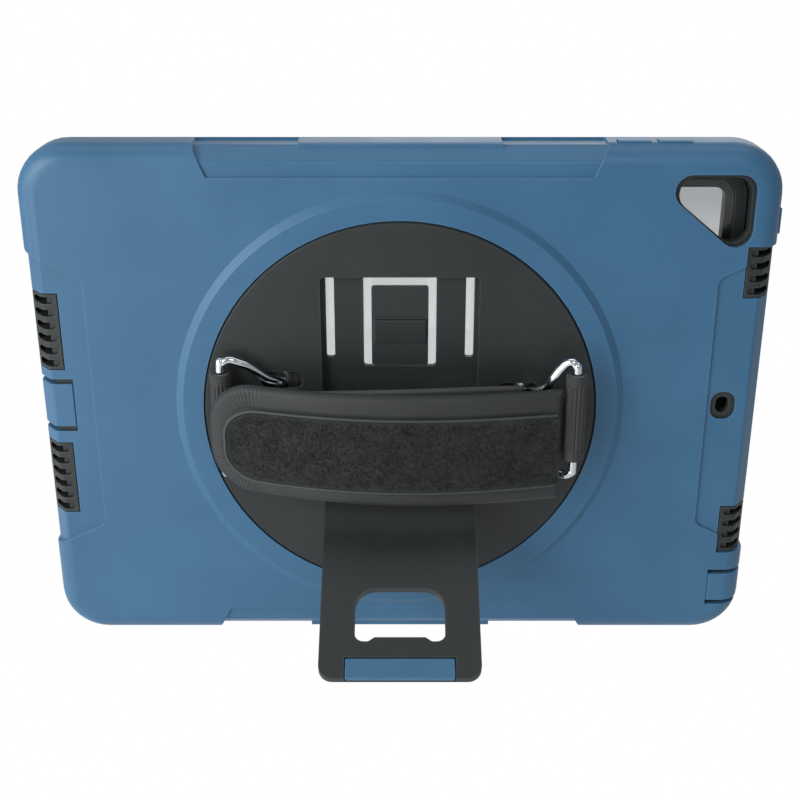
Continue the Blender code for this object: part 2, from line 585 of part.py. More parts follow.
def turntable(black, steel):
    face, back = -PLATEAU_H, SKIN_BACK
    disc = turned_disc("turntable_disc", [(0, face), (DISC_R - 0.7, face), (DISC_R, face + 0.7), (DISC_R, back),
                                          (HUB_R, back), (HUB_R, HUB_Y), (0, HUB_Y)], "tablet_case")
    half = LEG_HALF + 0.4
    cut(disc, plate("leg_recess", rectangle(-half, half, HINGE_Z - STOP_DROP, DISC_Z + RECESS_TOP, 1.5, 3),
                    face - 1, LEG_FLOOR_Y))
    cut(disc, box("hinge_trough", (-half, face, HINGE_Z - BARREL_R - GAP),
                  (half, HINGE_Y + BARREL_R + GAP, HINGE_Z + BARREL_R + GAP)))
    reach = LEG_HALF + PIN_REACH + GAP
    pin_ends = ((-reach, HINGE_Y, HINGE_Z), (reach, HINGE_Y, HINGE_Z))
    cut(disc, cylinder("pin_bore", *pin_ends, PIN_R + GAP, segments=24))
    for name, side in (("left", -1), ("right", 1)):
        ends = sorted((side * SIDE_SLOT_IN, side * SIDE_SLOT_OUT))
        slot = rectangle(*ends, DISC_Z + SIDE_SLOT_LOW, DISC_Z + RECESS_TOP - 0.4, 0.8, 2)
        cut(disc, plate(name + "_side_slot", slot, face - 1, HUB_Y + 1))
        cut(disc, *ring_room(name, side))
    slot_half = TONGUE_HALF + TONGUE_SLOT
    cut(disc, plate("tongue_slot", rectangle(-slot_half, slot_half, DISC_Z + TONGUE_ROOT - GAP,
                                             DISC_Z + RECESS_TOP - 0.4, 1.0, 3), face - 1, HUB_Y + 1))
    for k, x, z in screw_places():
        cut(disc, cylinder(f"pilot_{k}", (x, HUB_Y - SCREW_DEPTH - GAP, z), (x, HUB_Y + 1, z), SCREW_R + GAP,
                           segments=16))
    finish(disc, black)

    retainer = turned_disc("disc_retainer_ring", [(RETAINER_IN_R, RETAINER_Y), (RETAINER_OUT_R, RETAINER_Y),
                                                  (RETAINER_OUT_R, RETAINER_Y + RETAINER_THICK),
                                                  (RETAINER_IN_R, RETAINER_Y + RETAINER_THICK),
                                                  (RETAINER_IN_R, RETAINER_Y)], "tablet_case")
    for k, x, z in screw_places():
        top = RETAINER_Y + RETAINER_THICK
        cut(retainer, cylinder(f"sink_{k}", (x, RETAINER_Y - 0.2, z), (x, top + 0.2, z), SCREW_R + GAP,
                               end_radius=SCREW_HEAD_R + GAP + 0.2, segments=16))
        screw = cylinder(f"retainer_screw_{k}", (x, RETAINER_Y, z), (x, top - 0.05, z), SCREW_R, "tablet_case",
                         end_radius=SCREW_HEAD_R, segments=16)
        shank_ends = ((x, HUB_Y - SCREW_DEPTH, z), (x, RETAINER_Y + 0.3, z))
        join(screw, cylinder(f"shank_{k}", *shank_ends, SCREW_R * 0.98, segments=16))
        finish(screw, steel)
    finish(retainer, steel)


def latch_tongue(black):
    """Springy tongue whose step catches the folded leg."""
    outline = rectangle(-TONGUE_HALF, TONGUE_HALF, DISC_Z + TONGUE_ROOT, DISC_Z + TONGUE_TIP, 1.0, 3)
    tongue = plate("latch_tongue", outline, LEG_FLOOR_Y, HUB_Y - GAP, "tablet_case")
    start = STEP_HIGH - STEP_LENGTH
    ramp = [(0, start, 0), (STEP_START, start, 0), (STEP_RISE, STEP_HIGH, 0), (0, STEP_HIGH, 0)]
    wedge = plate("tongue_step", rounded(ramp), -TONGUE_HALF + 1.0, TONGUE_HALF - 1.0)
    wedge.rotation_euler = (0, 0, math.pi / -2)
    wedge.location = (0, (LEG_FLOOR_Y + 0.4) * MM, DISC_Z * MM)
    join(tongue, wedge)
    finish(tongue, black)


# ---------------------------------------------------------------- kickstand


def kickstand(black, blue, steel):
    """Leg modelled folded flat, then opened about its pin."""
    low_y, high_y = 0.1 - PLATEAU_H - HINGE_Y, 0.1 - PLATEAU_H + LEG_THICK - HINGE_Y
    top = LEG_LENGTH
    body = [
        (-LEG_HALF, -0.5, 0), (LEG_HALF, -0.5, 0),
        (LEG_HALF, top, LEG_CORNER_R), (-LEG_HALF, top, LEG_CORNER_R),
    ]
    hole_low, hole_high, catch = top - HOLE_HIGH, top - HOLE_LOW, top - HOLE_LOW - CATCH_RISE
    catch_foot = CATCH_HALF + 2.2
    hole = [(-HOLE_HALF, hole_high, 3.0), (-catch_foot, hole_high, 1.2), (-CATCH_HALF, catch, 0.8),
            (CATCH_HALF, catch, 0.8), (catch_foot, hole_high, 1.2), (HOLE_HALF, hole_high, 3.0),
            (HOLE_HALF, hole_low, HOLE_R), (-HOLE_HALF, hole_low, HOLE_R)]
    leg = plate("kickstand_leg", [rounded(body), rounded(hole, 5)], low_y, high_y, "tablet_case")
    barrel = cylinder("leg_barrel", (-LEG_HALF, 0, 0), (LEG_HALF, 0, 0), BARREL_R, segments=24)
    bore = cylinder("leg_bore", (-LEG_HALF - 1, 0, 0), (LEG_HALF + 1, 0, 0), PIN_R + GAP, segments=24)
    pad_room = box("pad_room", (-PAD_HALF - GAP, high_y - PAD_THICK - GAP, top - PAD_LENGTH - GAP),
                   (PAD_HALF + GAP, high_y + 1, top + 1))
    pad = plate("kickstand_foot_pad", rectangle(-PAD_HALF, PAD_HALF, top - PAD_LENGTH, top, 0.5, 2),
                high_y - PAD_THICK, high_y, "tablet_case")
    soften(pad, 0.25, 1)
    join(leg, barrel)
    cut(leg, bore, pad_room)
    for item in (leg, barrel, bore, pad_room, pad):
        item.rotation_euler = (math.radians(LEG_OPEN_DEG), 0, 0)
        item.location = (0, HINGE_Y * MM, HINGE_Z * MM)
    finish(leg, black)
    finish(pad, blue)
    reach = LEG_HALF + PIN_REACH
    finish(cylinder("kickstand_hinge_pin", (-reach, HINGE_Y, HINGE_Z), (reach, HINGE_Y, HINGE_Z), PIN_R,
                    "tablet_case", segments=20), steel)


# ---------------------------------------------------------------- strap hardware


def ring_path(name):
    """Closed path of a strap ring: (out from its pivot, up from the disc's centre, rise off the face)."""
    if name == "left":
        upper = [(0, 8.5, 0), (0.3, 11.0, 0.7), (2.4, 12.6, 3.2), (5.6, 14.6, 5.6), (9.0, 17.6, 7.1),
                 (12.4, 20.4, 7.9), (16.0, 22.0, 8.2), (18.8, 22.9, 8.4), (21.3, 21.7, RING_RISE),
                 (RING_REACH, 18.8, RING_RISE)]
        lower = upper
    else:
        start = [(0, 4.1, 0), (0.3, 6.6, 0.7), (2.2, 8.0, 3.2), (5.4, 9.4, 6.2)]
        upper = start + [(9.0, 10.6, 8.6), (12.2, 12.4, 9.5), (14.2, 15.8, 9.7), (16.2, 18.9, 9.4),
                         (18.6, 21.6, 8.9), (20.6, 22.2, 8.6), (22.1, 20.4, RING_RISE), (RING_REACH, 17.6, RING_RISE)]
        lower = start + [(9.0, 13.4, 7.8), (13.4, 18.6, 8.2), (17.4, 21.8, 8.4), (20.4, 22.2, RING_RISE),
                         (22.1, 20.4, RING_RISE), (RING_REACH, 17.6, RING_RISE)]
    path = upper + [(out, -up, rise) for out, up, rise in reversed(lower)]
    lean = 0.0 if name == "left" else RIGHT_LEAN
    return smooth_arc([(out, up + lean * min(1.0, out / LEAN_START), rise) for out, up, rise in path], 4)


def strap_rings(chrome, webbing, steel):
    """Wire rings behind bridges in the disc, each with a webbing sleeve and a plate that keeps it in."""
    rings = (("left", -1, LEFT_PIVOT_X, 0.0, 0.0),
             ("right", 1, RIGHT_PIVOT_X, RIGHT_RING_TILT_DEG, RIGHT_LEAN))
    for name, side, pivot, tilt, lean in rings:
        turn = Matrix.Rotation(math.radians(side * -tilt), 4, "Z")
        hub = Vector((pivot, RING_BAR_Y, DISC_Z))
        points = [hub + turn @ Vector((side * out, -rise, up)) for out, up, rise in ring_path(name)]
        finish(wire(name + "_strap_ring", points, WIRE_R), chrome)
        bar = hub + turn @ Vector((side * RING_REACH, -RING_RISE, lean + SLEEVE_LIFT))
        up = Vector((0, 0, SLEEVE_HALF))
        sleeve = cylinder(name + "_webbing_loop", bar - up, bar + up, SLEEVE_R, "tablet_case", segments=24)
        front = -SLEEVE_R if side < 0 else SLEEVE_R - TAB_THICK
        ends = sorted((bar.x, bar.x - side * TAB_LENGTH))
        join(sleeve, box(name + "_tab", (ends[0], bar.y + front, DISC_Z - TAB_HALF),
                         (ends[1], bar.y + front + TAB_THICK, DISC_Z + TAB_HALF)))
        cut(sleeve, cylinder(name + "_bore", bar - 2 * up, bar + 2 * up, SLEEVE_BORE_R, segments=20))
        finish(sleeve, webbing)
        ends = sorted((side * (NOTCH_IN - 1.6), side * (NOTCH_OUT + 1.6)))
        reach = NOTCHES[name][1] + 1.6
        outline = rectangle(*ends, DISC_Z - reach, DISC_Z + reach, 2.0, 3)
        keeper = plate(name + "_ring_keeper", outline, HUB_Y + GAP, HUB_Y + GAP + 0.9, "tablet_case")
        finish(keeper, steel)


# ---------------------------------------------------------------- hand strap


def strap_front(x):
    """Front surface of the strap: a bow from ring to ring."""
    s = (x - STRAP_LEFT) / (STRAP_RIGHT - STRAP_LEFT)
    bow = STRAP_BOW * math.sin(math.pi * min(max(s, 0), 1))
    return STRAP_LEFT_Y + (STRAP_RIGHT_Y - STRAP_LEFT_Y) * s - bow


def strap_share(x):
    return (x - STRAP_LEFT) / (STRAP_RIGHT - STRAP_LEFT)


def strap_low(x):
    s = strap_share(x)
    return STRAP_LOW + STRAP_LOW_SLOPE * s - STRAP_LOW_SAG * math.sin(math.pi * s)


def strap_top(x):
    return STRAP_TOP + STRAP_TOP_SLOPE * strap_share(x)


def patch_low(x):
    return PATCH_LOW + PATCH_SLOPE * strap_share(x) - STRAP_LOW_SAG * math.sin(math.pi * strap_share(x))


def patch_top(x):
    return PATCH_TOP + STRAP_TOP_SLOPE * strap_share(x)


def lining_top(x):
    return strap_top(x) + LINING_TOP - LINING_DIP * max(0.0, -x / 45)


def bowed_strip(name, x_low, x_high, z_low, z_high, lift, thickness, end_r, colour_material):
    """A strip that follows the bow; z_low and z_high are functions of x, lift its distance from the front."""
    columns, rows = 40, 6
    bm = bmesh.new()
    bmesh.ops.create_grid(bm, x_segments=columns, y_segments=rows, size=0.5)
    for vert in bm.verts:
        x = x_low + (vert.co.x + 0.5) * (x_high - x_low)
        near_end = max(0.0, 1 - (x - x_low) / end_r) if end_r else 0.0
        tuck = 1 - math.sqrt(max(0.0, 1 - near_end ** 2))
        low, high = z_low(x), z_high(x)
        pull = tuck * min(end_r, (high - low) / 2 - 3.0) if end_r else 0.0
        z = low + pull + (vert.co.y + 0.5) * (high - low - 2 * pull)
        vert.co = (x, strap_front(x) + lift, DISC_Z + z)
    bmesh.ops.recalc_face_normals(bm, faces=bm.faces)
    strip = from_bmesh(name, bm, "tablet_case")
    up = strip.data.polygons[0].normal.y < 0
    modify(strip, "SOLIDIFY", "wall", thickness=thickness * MM, offset=-1.0 if up else 1.0)
    return finish(strip, colour_material)


def hand_strap(fabric, fuzz):
    bowed_strip("hand_strap_pad", STRAP_LEFT, STRAP_RIGHT, strap_low, strap_top,
                0.0, STRAP_THICK, STRAP_END_R, fabric)
    bowed_strip("strap_fastener_patch", PATCH_LEFT, STRAP_RIGHT - 1.0, patch_low, patch_top,
                -PATCH_THICK - GAP, PATCH_THICK, PATCH_END_R, fuzz)
    bowed_strip("strap_lining", STRAP_LEFT + 24, STRAP_RIGHT - 14, lambda x: strap_low(x) + 3.0, lining_top,
                STRAP_THICK + GAP + 0.3, UNDER_THICK, 0.0, fabric)


def main():
    clear_scene()
    blue = (0.040, 0.137, 0.257)
    outer_skin(material("skin_blue", blue, 0.55))
    port_covers(material("cover_blue", blue, 0.55))
    speaker_grilles(material("grille_black", (0.022, 0.025, 0.025), 0.6))
    buttons(material("key_blue", blue, 0.55))
    inner_shell(material("shell_black", (0.025, 0.028, 0.028), 0.55))
    shell_colour, disc_colour, steel_colour = (0.025, 0.028, 0.028), (0.028, 0.031, 0.032), (0.6, 0.61, 0.62)
    front_frame(material("frame_black", shell_colour, 0.45), material("clear_film", (0.9, 0.92, 0.93), 0.08))
    turntable(material("disc_black", disc_colour, 0.6), material("zinc_steel", steel_colour, 0.3, 1.0))
    latch_tongue(material("tongue_black", disc_colour, 0.6))
    kickstand(material("leg_black", disc_colour, 0.6), material("pad_blue", blue, 0.6),
              material("pin_steel", steel_colour, 0.25, 1.0))
    strap_rings(material("chrome_wire", (0.75, 0.76, 0.78), 0.1, 1.0),
                material("webbing_black", (0.03, 0.03, 0.031), 0.8),
                material("keeper_steel", steel_colour, 0.3, 1.0))
    hand_strap(material("strap_black", (0.022, 0.024, 0.025), 0.7),
               material("patch_black", (0.012, 0.012, 0.012), 0.95))
    origin = bpy.data.objects.new("case_origin", None)
    bpy.data.collections["tablet_case"].objects.link(origin)
    origin.location = (0, -ORIGIN_Y * MM, 0)
    for collection in ("tablet_case", "cutters"):
        for item in bpy.data.collections[collection].objects:
            if item is not origin:
                item.parent = origin


main()
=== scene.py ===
"""Looks of the rugged tablet case: silicone skin, hard shells, turntable, kickstand and hand strap.

Hard pieces are the frame's own nodes with their edges rounded; the strap, its pile, stitches, rings and
webbing loops are made here. Lengths named with _MM are millimetres, everything else is metres.
"""
import json
import math

import bmesh
import bpy
import numpy as np
from mathutils import Matrix, Vector, noise


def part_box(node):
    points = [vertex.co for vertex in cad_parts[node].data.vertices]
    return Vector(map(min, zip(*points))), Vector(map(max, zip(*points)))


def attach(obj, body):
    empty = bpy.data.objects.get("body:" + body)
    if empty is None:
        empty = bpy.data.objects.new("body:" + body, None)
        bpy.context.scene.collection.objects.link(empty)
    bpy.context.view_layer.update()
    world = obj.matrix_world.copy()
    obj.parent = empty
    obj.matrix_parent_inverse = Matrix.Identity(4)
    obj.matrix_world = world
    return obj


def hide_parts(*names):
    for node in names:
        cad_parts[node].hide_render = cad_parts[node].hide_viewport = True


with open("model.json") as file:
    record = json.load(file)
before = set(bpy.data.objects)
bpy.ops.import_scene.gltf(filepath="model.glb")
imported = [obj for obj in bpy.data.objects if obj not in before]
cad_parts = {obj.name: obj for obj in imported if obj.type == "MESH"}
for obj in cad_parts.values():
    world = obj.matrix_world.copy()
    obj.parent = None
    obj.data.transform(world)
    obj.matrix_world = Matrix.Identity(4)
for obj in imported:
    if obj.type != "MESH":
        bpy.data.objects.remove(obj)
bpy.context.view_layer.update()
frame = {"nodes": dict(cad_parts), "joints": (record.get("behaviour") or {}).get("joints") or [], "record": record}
RECORD = frame["record"]
MM = 0.001

BODY_OF = {node: body for body, nodes in RECORD["behaviour"]["bodies"].items() for node in nodes}
SLOT_OF = {part["node"]: part["material_slot"] for part in RECORD["subparts"]}
JOINT = {joint["name"]: joint for joint in frame["joints"]}

DISC_LOW, DISC_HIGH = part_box("turntable_disc")
DISC_CENTRE = Vector((0, DISC_LOW.y, (DISC_LOW.z + DISC_HIGH.z) / 2))

# Strap rings: halves of the closed path, each point as
# (out from the pivot, up from the disc's centre, rise off the pivot)
LEFT_HALF_MM = [
    (0, 8.5, 0), (0.3, 11.0, 0.7), (2.4, 12.6, 3.2), (5.6, 14.6, 5.6), (9.0, 17.6, 7.1), (12.4, 20.4, 7.9),
    (16.0, 22.0, 8.2), (18.8, 22.9, 8.4), (21.3, 21.7, 8.5), (22.5, 18.8, 8.5),
]
RIGHT_START_MM = [(0, 4.1, 0), (0.3, 6.6, 0.7), (2.2, 8.0, 3.2), (5.4, 9.4, 6.2)]
RIGHT_UPPER_MM = RIGHT_START_MM + [
    (9.0, 10.6, 8.6), (12.2, 12.4, 9.5), (14.2, 15.8, 9.7), (16.2, 18.9, 9.4), (18.6, 21.6, 8.9),
    (20.6, 22.2, 8.6), (22.1, 20.4, 8.5), (22.5, 17.6, 8.5),
]
RIGHT_LOWER_MM = RIGHT_START_MM + [
    (9.0, 13.4, 7.8), (13.4, 18.6, 8.2), (17.4, 21.8, 8.4), (20.4, 22.2, 8.5), (22.1, 20.4, 8.5),
    (22.5, 17.6, 8.5),
]
RING_HALVES = {"left": (LEFT_HALF_MM, LEFT_HALF_MM), "right": (RIGHT_UPPER_MM, RIGHT_LOWER_MM)}
RING_LEAN = {"left": 0.0, "right": 2.8}  # outer bar above inner bar, reached LEAN_START_MM out
LEAN_START_MM = 14.0
RING_WIRE_R = 1.65 * MM
RING_TILT = {"left": 0.0, "right": math.radians(-25.0)}

# Webbing loops round the rings' bars
SLEEVE_R, SLEEVE_BORE_R = 3.9 * MM, 1.75 * MM
SLEEVE_RIBS = 15
RIB_DEPTH = 0.45 * MM
HEM_MM, HEM_ROWS = 3.6, 3
TAB_HALF, TAB_THICK = 11.0 * MM, 1.5 * MM
TAB_RIBS, TAB_RIB_DEPTH = 10, 0.18 * MM

# Hand strap
BORDER_ROLL = 2.2 * MM
STRAP_END_R, PATCH_END_R = 16.0 * MM, 12.6 * MM
PLEAT_COUNT, PLEAT_DEPTH = 88, 0.26 * MM
SEAM_DEPTH = 0.16 * MM
STITCH_PITCH, STITCH_LENGTH, STITCH_R = 2.7 * MM, 1.95 * MM, 0.27 * MM
SEAM_OUT, SEAM_BEHIND = 1.0 * MM, 1.22 * MM  # seam line outside the patch, behind its front
SELVEDGE_R = 0.55 * MM
PILE_DENSITY = 1.75e6  # loops to the square metre
PILE_LOOP, PILE_THREAD_R, PILE_MARGIN = 0.62 * MM, 0.055 * MM, 1.3 * MM

# Camera and room
CAMERA_PLACE = (0.0, -0.4465, 0.2817)
CAMERA_PITCH = math.radians(67.6)
CAMERA_LENS, CAMERA_SENSOR = 56.80, 36.0
FLOOR_DROP, FLOOR_SIZE = 0.16, 14.0


# ---------------------------------------------------------------- node helpers


def colour4(colour):
    return (*colour, 1.0)


class Net:
    """A node tree with short ways to add nodes and links."""

    def __init__(self, tree):
        self.tree = tree

    def node(self, kind, values=None, **settings):
        made = self.tree.nodes.new(kind)
        for key, value in settings.items():
            setattr(made, key, value)
        for key, value in (values or {}).items():
            self.feed(made.inputs[key], value)
        return made

    def feed(self, socket, value):
        if isinstance(value, bpy.types.NodeSocket):
            self.tree.links.new(value, socket)
        else:
            socket.default_value = value

    def maths(self, operation, first, second=0.5, clamp=False):
        made = self.node("ShaderNodeMath", {0: first, 1: second}, operation=operation, use_clamp=clamp)
        return made.outputs[0]

    def mix(self, factor, first, second, blend="MIX"):
        made = self.node("ShaderNodeMix", data_type="RGBA", blend_type=blend)
        for index, value in ((0, factor), (6, first), (7, second)):
            self.feed(made.inputs[index], value)
        return made.outputs[2]

    def span(self, value, low, high, to_low=0.0, to_high=1.0):
        """Value from low to high mapped onto another span, and held there."""
        return self.node("ShaderNodeMapRange", {0: value, 1: low, 2: high, 3: to_low, 4: to_high}).outputs[0]


def shader_group(name, inputs, outputs):
    """An empty shader group; inputs are (name, default), outputs are (name, kind)."""
    tree = bpy.data.node_groups.new(name, "ShaderNodeTree")
    for label, value in inputs:
        kind = "NodeSocketColor" if isinstance(value, tuple) else "NodeSocketFloat"
        tree.interface.new_socket(name=label, in_out="INPUT", socket_type=kind).default_value = value
    for label, kind in outputs:
        tree.interface.new_socket(name=label, in_out="OUTPUT", socket_type=kind)
    net = Net(tree)
    return net, net.node("NodeGroupInput"), net.node("NodeGroupOutput")


def grain_group():
    """Fine moulded grain with scattered lighter specks and slow clouding."""
    net, given, made = shader_group(
        "moulded_grain", [("Scale", 1800.0), ("Speck Amount", 0.5)],
        [("Height", "NodeSocketFloat"), ("Specks", "NodeSocketFloat"), ("Clouds", "NodeSocketFloat")])
    place = net.node("ShaderNodeTexCoord").outputs["Object"]
    fine = net.node("ShaderNodeTexNoise", {"Vector": place, "Scale": given.outputs["Scale"], "Detail": 2.0,
                                           "Roughness": 0.6})
    cell_scale = net.maths("MULTIPLY", given.outputs["Scale"], 0.6)
    cells = net.node("ShaderNodeTexVoronoi", {"Vector": place, "Scale": cell_scale})
    clouds = net.node("ShaderNodeTexNoise", {"Vector": place, "Scale": 26.0, "Detail": 3.0,
                                             "Roughness": 0.55})
    speck = net.span(fine.outputs["Fac"], 0.58, 0.72)
    height = net.maths("ADD", fine.outputs["Fac"], net.maths("MULTIPLY", cells.outputs["Distance"], 0.7))
    net.feed(made.inputs["Height"], height)
    net.feed(made.inputs["Specks"], net.maths("MULTIPLY", speck, given.outputs["Speck Amount"]))
    net.feed(made.inputs["Clouds"], net.span(clouds.outputs["Fac"], 0.35, 0.65))
    return net.tree


def edge_highlight_group():
    """Painted highlight mask that is 1 on rounded edges and fades over the given radius."""
    net, given, made = shader_group("painted_edge_highlight", [("Radius", 0.0008), ("Strength", 1.0)],
                                    [("Mask", "NodeSocketFloat")])
    bevel = net.node("ShaderNodeBevel", {"Radius": given.outputs["Radius"]}, samples=4)
    flat = net.node("ShaderNodeNewGeometry")
    same = net.node("ShaderNodeVectorMath", {0: bevel.outputs[0], 1: flat.outputs["Normal"]},
                    operation="DOT_PRODUCT")
    mask = net.span(same.outputs["Value"], 0.995, 0.86)
    net.feed(made.inputs["Mask"], net.maths("MULTIPLY", mask, given.outputs["Strength"], clamp=True))
    return net.tree


def weave_group():
    """Fine knitted or woven threads in two directions."""
    net, given, made = shader_group("fine_weave", [("Pitch", 0.0007)],
                                    [("Height", "NodeSocketFloat"), ("Shade", "NodeSocketFloat")])
    place = net.node("ShaderNodeTexCoord").outputs["Object"]
    parts = net.node("ShaderNodeSeparateXYZ", {0: place})
    across = net.maths("ADD", parts.outputs["X"], net.maths("MULTIPLY", parts.outputs["Y"], 0.6))
    rate = net.maths("DIVIDE", math.tau, given.outputs["Pitch"])
    warp = net.maths("SINE", net.maths("MULTIPLY", across, rate))
    weft = net.maths("SINE", net.maths("MULTIPLY", parts.outputs["Z"], rate))
    cloth = net.maths("MULTIPLY", warp, weft)
    fuzz = net.node("ShaderNodeTexNoise", {"Vector": place, "Scale": 2600.0, "Detail": 3.0})
    height = net.maths("ADD", net.maths("MULTIPLY", cloth, 0.3), fuzz.outputs["Fac"])
    net.feed(made.inputs["Height"], height)
    net.feed(made.inputs["Shade"], net.span(height, 0.2, 0.85))
    return net.tree


# the edges group gives the mask of the painted highlight on rounded edges
GROUPS = {"grain": grain_group(), "edges": edge_highlight_group(), "weave": weave_group()}


def start_material(name, **constants):
    """A material's net and its Principled shader, with the shader's constant sockets set."""
    made = bpy.data.materials.new(name)
    made.use_nodes = True
    shader = made.node_tree.nodes["Principled BSDF"]
    for key, value in constants.items():
        shader.inputs[key.replace("_", " ")].default_value = value
    return made, Net(made.node_tree), shader


def use_group(net, name, **values):
    made = net.node("ShaderNodeGroup", node_tree=GROUPS[name])
    for key, value in values.items():
        net.feed(made.inputs[key.replace("_", " ")], value)
    return made


def bump(net, shader, height, strength, distance):
    made = net.node("ShaderNodeBump", {"Height": height, "Strength": strength, "Distance": distance})
    net.feed(shader.inputs["Normal"], made.outputs[0])


def moulded(name, dark, light, edge, rough, scale, specks, strength, depth, **constants):
    """Moulded rubber or plastic: clouded colour, specks, a painted highlight in a paler colour on rounded edges,
    and fine grain.
    """
    made, net, shader = start_material(name, **constants)
    grain = use_group(net, "grain", Scale=scale, Speck_Amount=specks)
    edges = use_group(net, "edges")
    body = net.mix(grain.outputs["Clouds"], colour4(dark), colour4(light))
    body = net.mix(grain.outputs["Specks"], body, colour4(edge))
    # rounded edges take the paler colour: a painted highlight
    net.feed(shader.inputs["Base Color"], net.mix(edges.outputs["Mask"], body, colour4(edge)))
    rough_map = net.span(grain.outputs["Clouds"], 0.0, 1.0, rough - 0.04, rough + 0.04)
    net.feed(shader.inputs["Roughness"], rough_map)
    bump(net, shader, grain.outputs["Height"], strength, depth)
    return made


def metal(name, colour, low_rough, high_rough, brush):
    """Plated metal with faint streaks along one direction."""
    made, net, shader = start_material(name, Metallic=1.0)
    place = net.node("ShaderNodeTexCoord").outputs["Object"]
    turned = net.node("ShaderNodeMapping", {"Vector": place, "Scale": brush})
    streaks = net.node("ShaderNodeTexNoise", {"Vector": turned.outputs[0], "Scale": 900.0, "Detail": 4.0})
    smears = net.node("ShaderNodeTexNoise", {"Vector": place, "Scale": 120.0, "Detail": 3.0})
    tone = net.span(smears.outputs["Fac"], 0.3, 0.7)
    net.feed(shader.inputs["Base Color"], net.mix(tone, colour4([c * 0.92 for c in colour]), colour4(colour)))
    net.feed(shader.inputs["Roughness"], net.span(streaks.outputs["Fac"], 0.3, 0.7, low_rough, high_rough))
    bump(net, shader, streaks.outputs["Fac"], 0.15, 0.00002)
    return made


def fabric(name, dark, light, pitch, rough, depth, **constants):
    """Woven or knitted cloth."""
    made, net, shader = start_material(name, **constants)
    weave = use_group(net, "weave", Pitch=pitch)
    grain = use_group(net, "grain", Scale=900.0, Speck_Amount=0.4)
    body = net.mix(weave.outputs["Shade"], colour4(dark), colour4(light))
    worn = net.maths("MULTIPLY", grain.outputs["Clouds"], 0.25)
    body = net.mix(worn, body, colour4([c * 1.5 for c in light]))
    net.feed(shader.inputs["Base Color"], body)
    rough_map = net.span(weave.outputs["Shade"], 0.0, 1.0, rough + 0.05, rough - 0.05)
    net.feed(shader.inputs["Roughness"], rough_map)
    bump(net, shader, weave.outputs["Height"], 0.5, depth)
    return made


def pile_material():
    """Fuzzy loop pile, mottled from tuft to tuft."""
    made, net, shader = start_material("loop_pile", Sheen_Weight=0.06, Sheen_Roughness=0.5)
    place = net.node("ShaderNodeTexCoord").outputs["Object"]
    tufts = net.node("ShaderNodeTexNoise", {"Vector": place, "Scale": 900.0, "Detail": 4.0, "Roughness": 0.7})
    mottle = net.node("ShaderNodeTexNoise", {"Vector": place, "Scale": 160.0, "Detail": 3.0,
                                             "Roughness": 0.6})
    shade = net.maths("ADD", net.maths("MULTIPLY", tufts.outputs["Fac"], 0.6),
                      net.maths("MULTIPLY", mottle.outputs["Fac"], 0.4))
    ramp = net.span(shade, 0.36, 0.64)
    deep, tip = (0.0016, 0.0018, 0.0018), (0.021, 0.0235, 0.0235)
    net.feed(shader.inputs["Base Color"], net.mix(ramp, colour4(deep), colour4(tip)))
    net.feed(shader.inputs["Roughness"], net.span(tufts.outputs["Fac"], 0.2, 0.8, 0.98, 0.85))
    bump(net, shader, tufts.outputs["Fac"], 0.8, 0.0003)
    return made


def film_material():
    """Clear protective film with a faint smear in its gloss."""
    made, net, shader = start_material("clear_film", Transmission_Weight=1.0, IOR=1.46, Metallic=0.0)
    place = net.node("ShaderNodeTexCoord").outputs["Object"]
    smear = net.node("ShaderNodeTexNoise", {"Vector": place, "Scale": 18.0, "Detail": 4.0})
    net.feed(shader.inputs["Roughness"], net.span(smear.outputs["Fac"], 0.35, 0.7, 0.0, 0.05))
    tint = net.mix(smear.outputs["Fac"], (0.97, 0.985, 0.98, 1), (1.0, 1.0, 1.0, 1))
    net.feed(shader.inputs["Base Color"], tint)
    return made


def build_materials():
    # The third colour of each set is used for specks and for the painted highlight on rounded edges.
    blue_dark, blue_light, blue_speck_and_highlight = (0.030, 0.108, 0.205), (0.036, 0.122, 0.228), (0.062, 0.165, 0.275)
    black, black_light, black_speck_and_highlight = (0.0155, 0.0185, 0.0190), (0.0195, 0.0230, 0.0235), (0.045, 0.051, 0.051)
    return {
        "skin": moulded("silicone_skin", blue_dark, blue_light, blue_speck_and_highlight, 0.42, 2400.0, 0.06, 0.10, 0.00003,
                        Specular_IOR_Level=0.42, Sheen_Weight=0.06, Sheen_Roughness=0.4),
        "shell": moulded("shell_plastic", black, black_light, black_speck_and_highlight, 0.46, 1600.0, 0.12, 0.3, 0.00005,
                         Specular_IOR_Level=0.4),
        "turntable": moulded("turntable_plastic", black, black_light, black_speck_and_highlight, 0.50, 1500.0, 0.22, 0.5,
                             0.00006, Specular_IOR_Level=0.38),
        "film": film_material(),
        "steel": metal("zinc_steel", (0.60, 0.61, 0.62), 0.24, 0.38, (1.0, 1.0, 0.06)),
        "ring_wire": metal("bright_nickel", (0.66, 0.68, 0.70), 0.05, 0.11, (1.0, 1.0, 1.0)),
        "webbing": fabric("elastic_webbing", (0.012, 0.0125, 0.013), (0.030, 0.031, 0.032),
                          0.0006, 0.72, 0.00012, Sheen_Weight=0.12, Sheen_Roughness=0.45),
        "strap": fabric("strap_fabric", (0.0125, 0.0145, 0.015), (0.019, 0.0215, 0.022),
                        0.00042, 0.60, 0.00005, Sheen_Weight=0.04, Sheen_Roughness=0.4),
        "lining": fabric("lining_fabric", (0.018, 0.020, 0.0205), (0.034, 0.037, 0.0375),
                         0.0008, 0.55, 0.0001, Sheen_Weight=0.15, Sheen_Roughness=0.35),
        # Stitch thread coloured near black: the stitches are real, and their near-black tone is painted shade of
        # the stitch holes.
        "thread": fabric("stitch_thread_with_painted_shade", (0.0012, 0.0014, 0.0014), (0.004, 0.0044, 0.0044),
                         0.0003, 0.7, 0.00005),
        "selvedge": fabric("selvedge_tape", (0.024, 0.028, 0.0285), (0.040, 0.045, 0.045),
                           0.00035, 0.6, 0.00004),
        "fastener": pile_material(),
    }


MATERIAL = build_materials()


# ---------------------------------------------------------------- mesh helpers


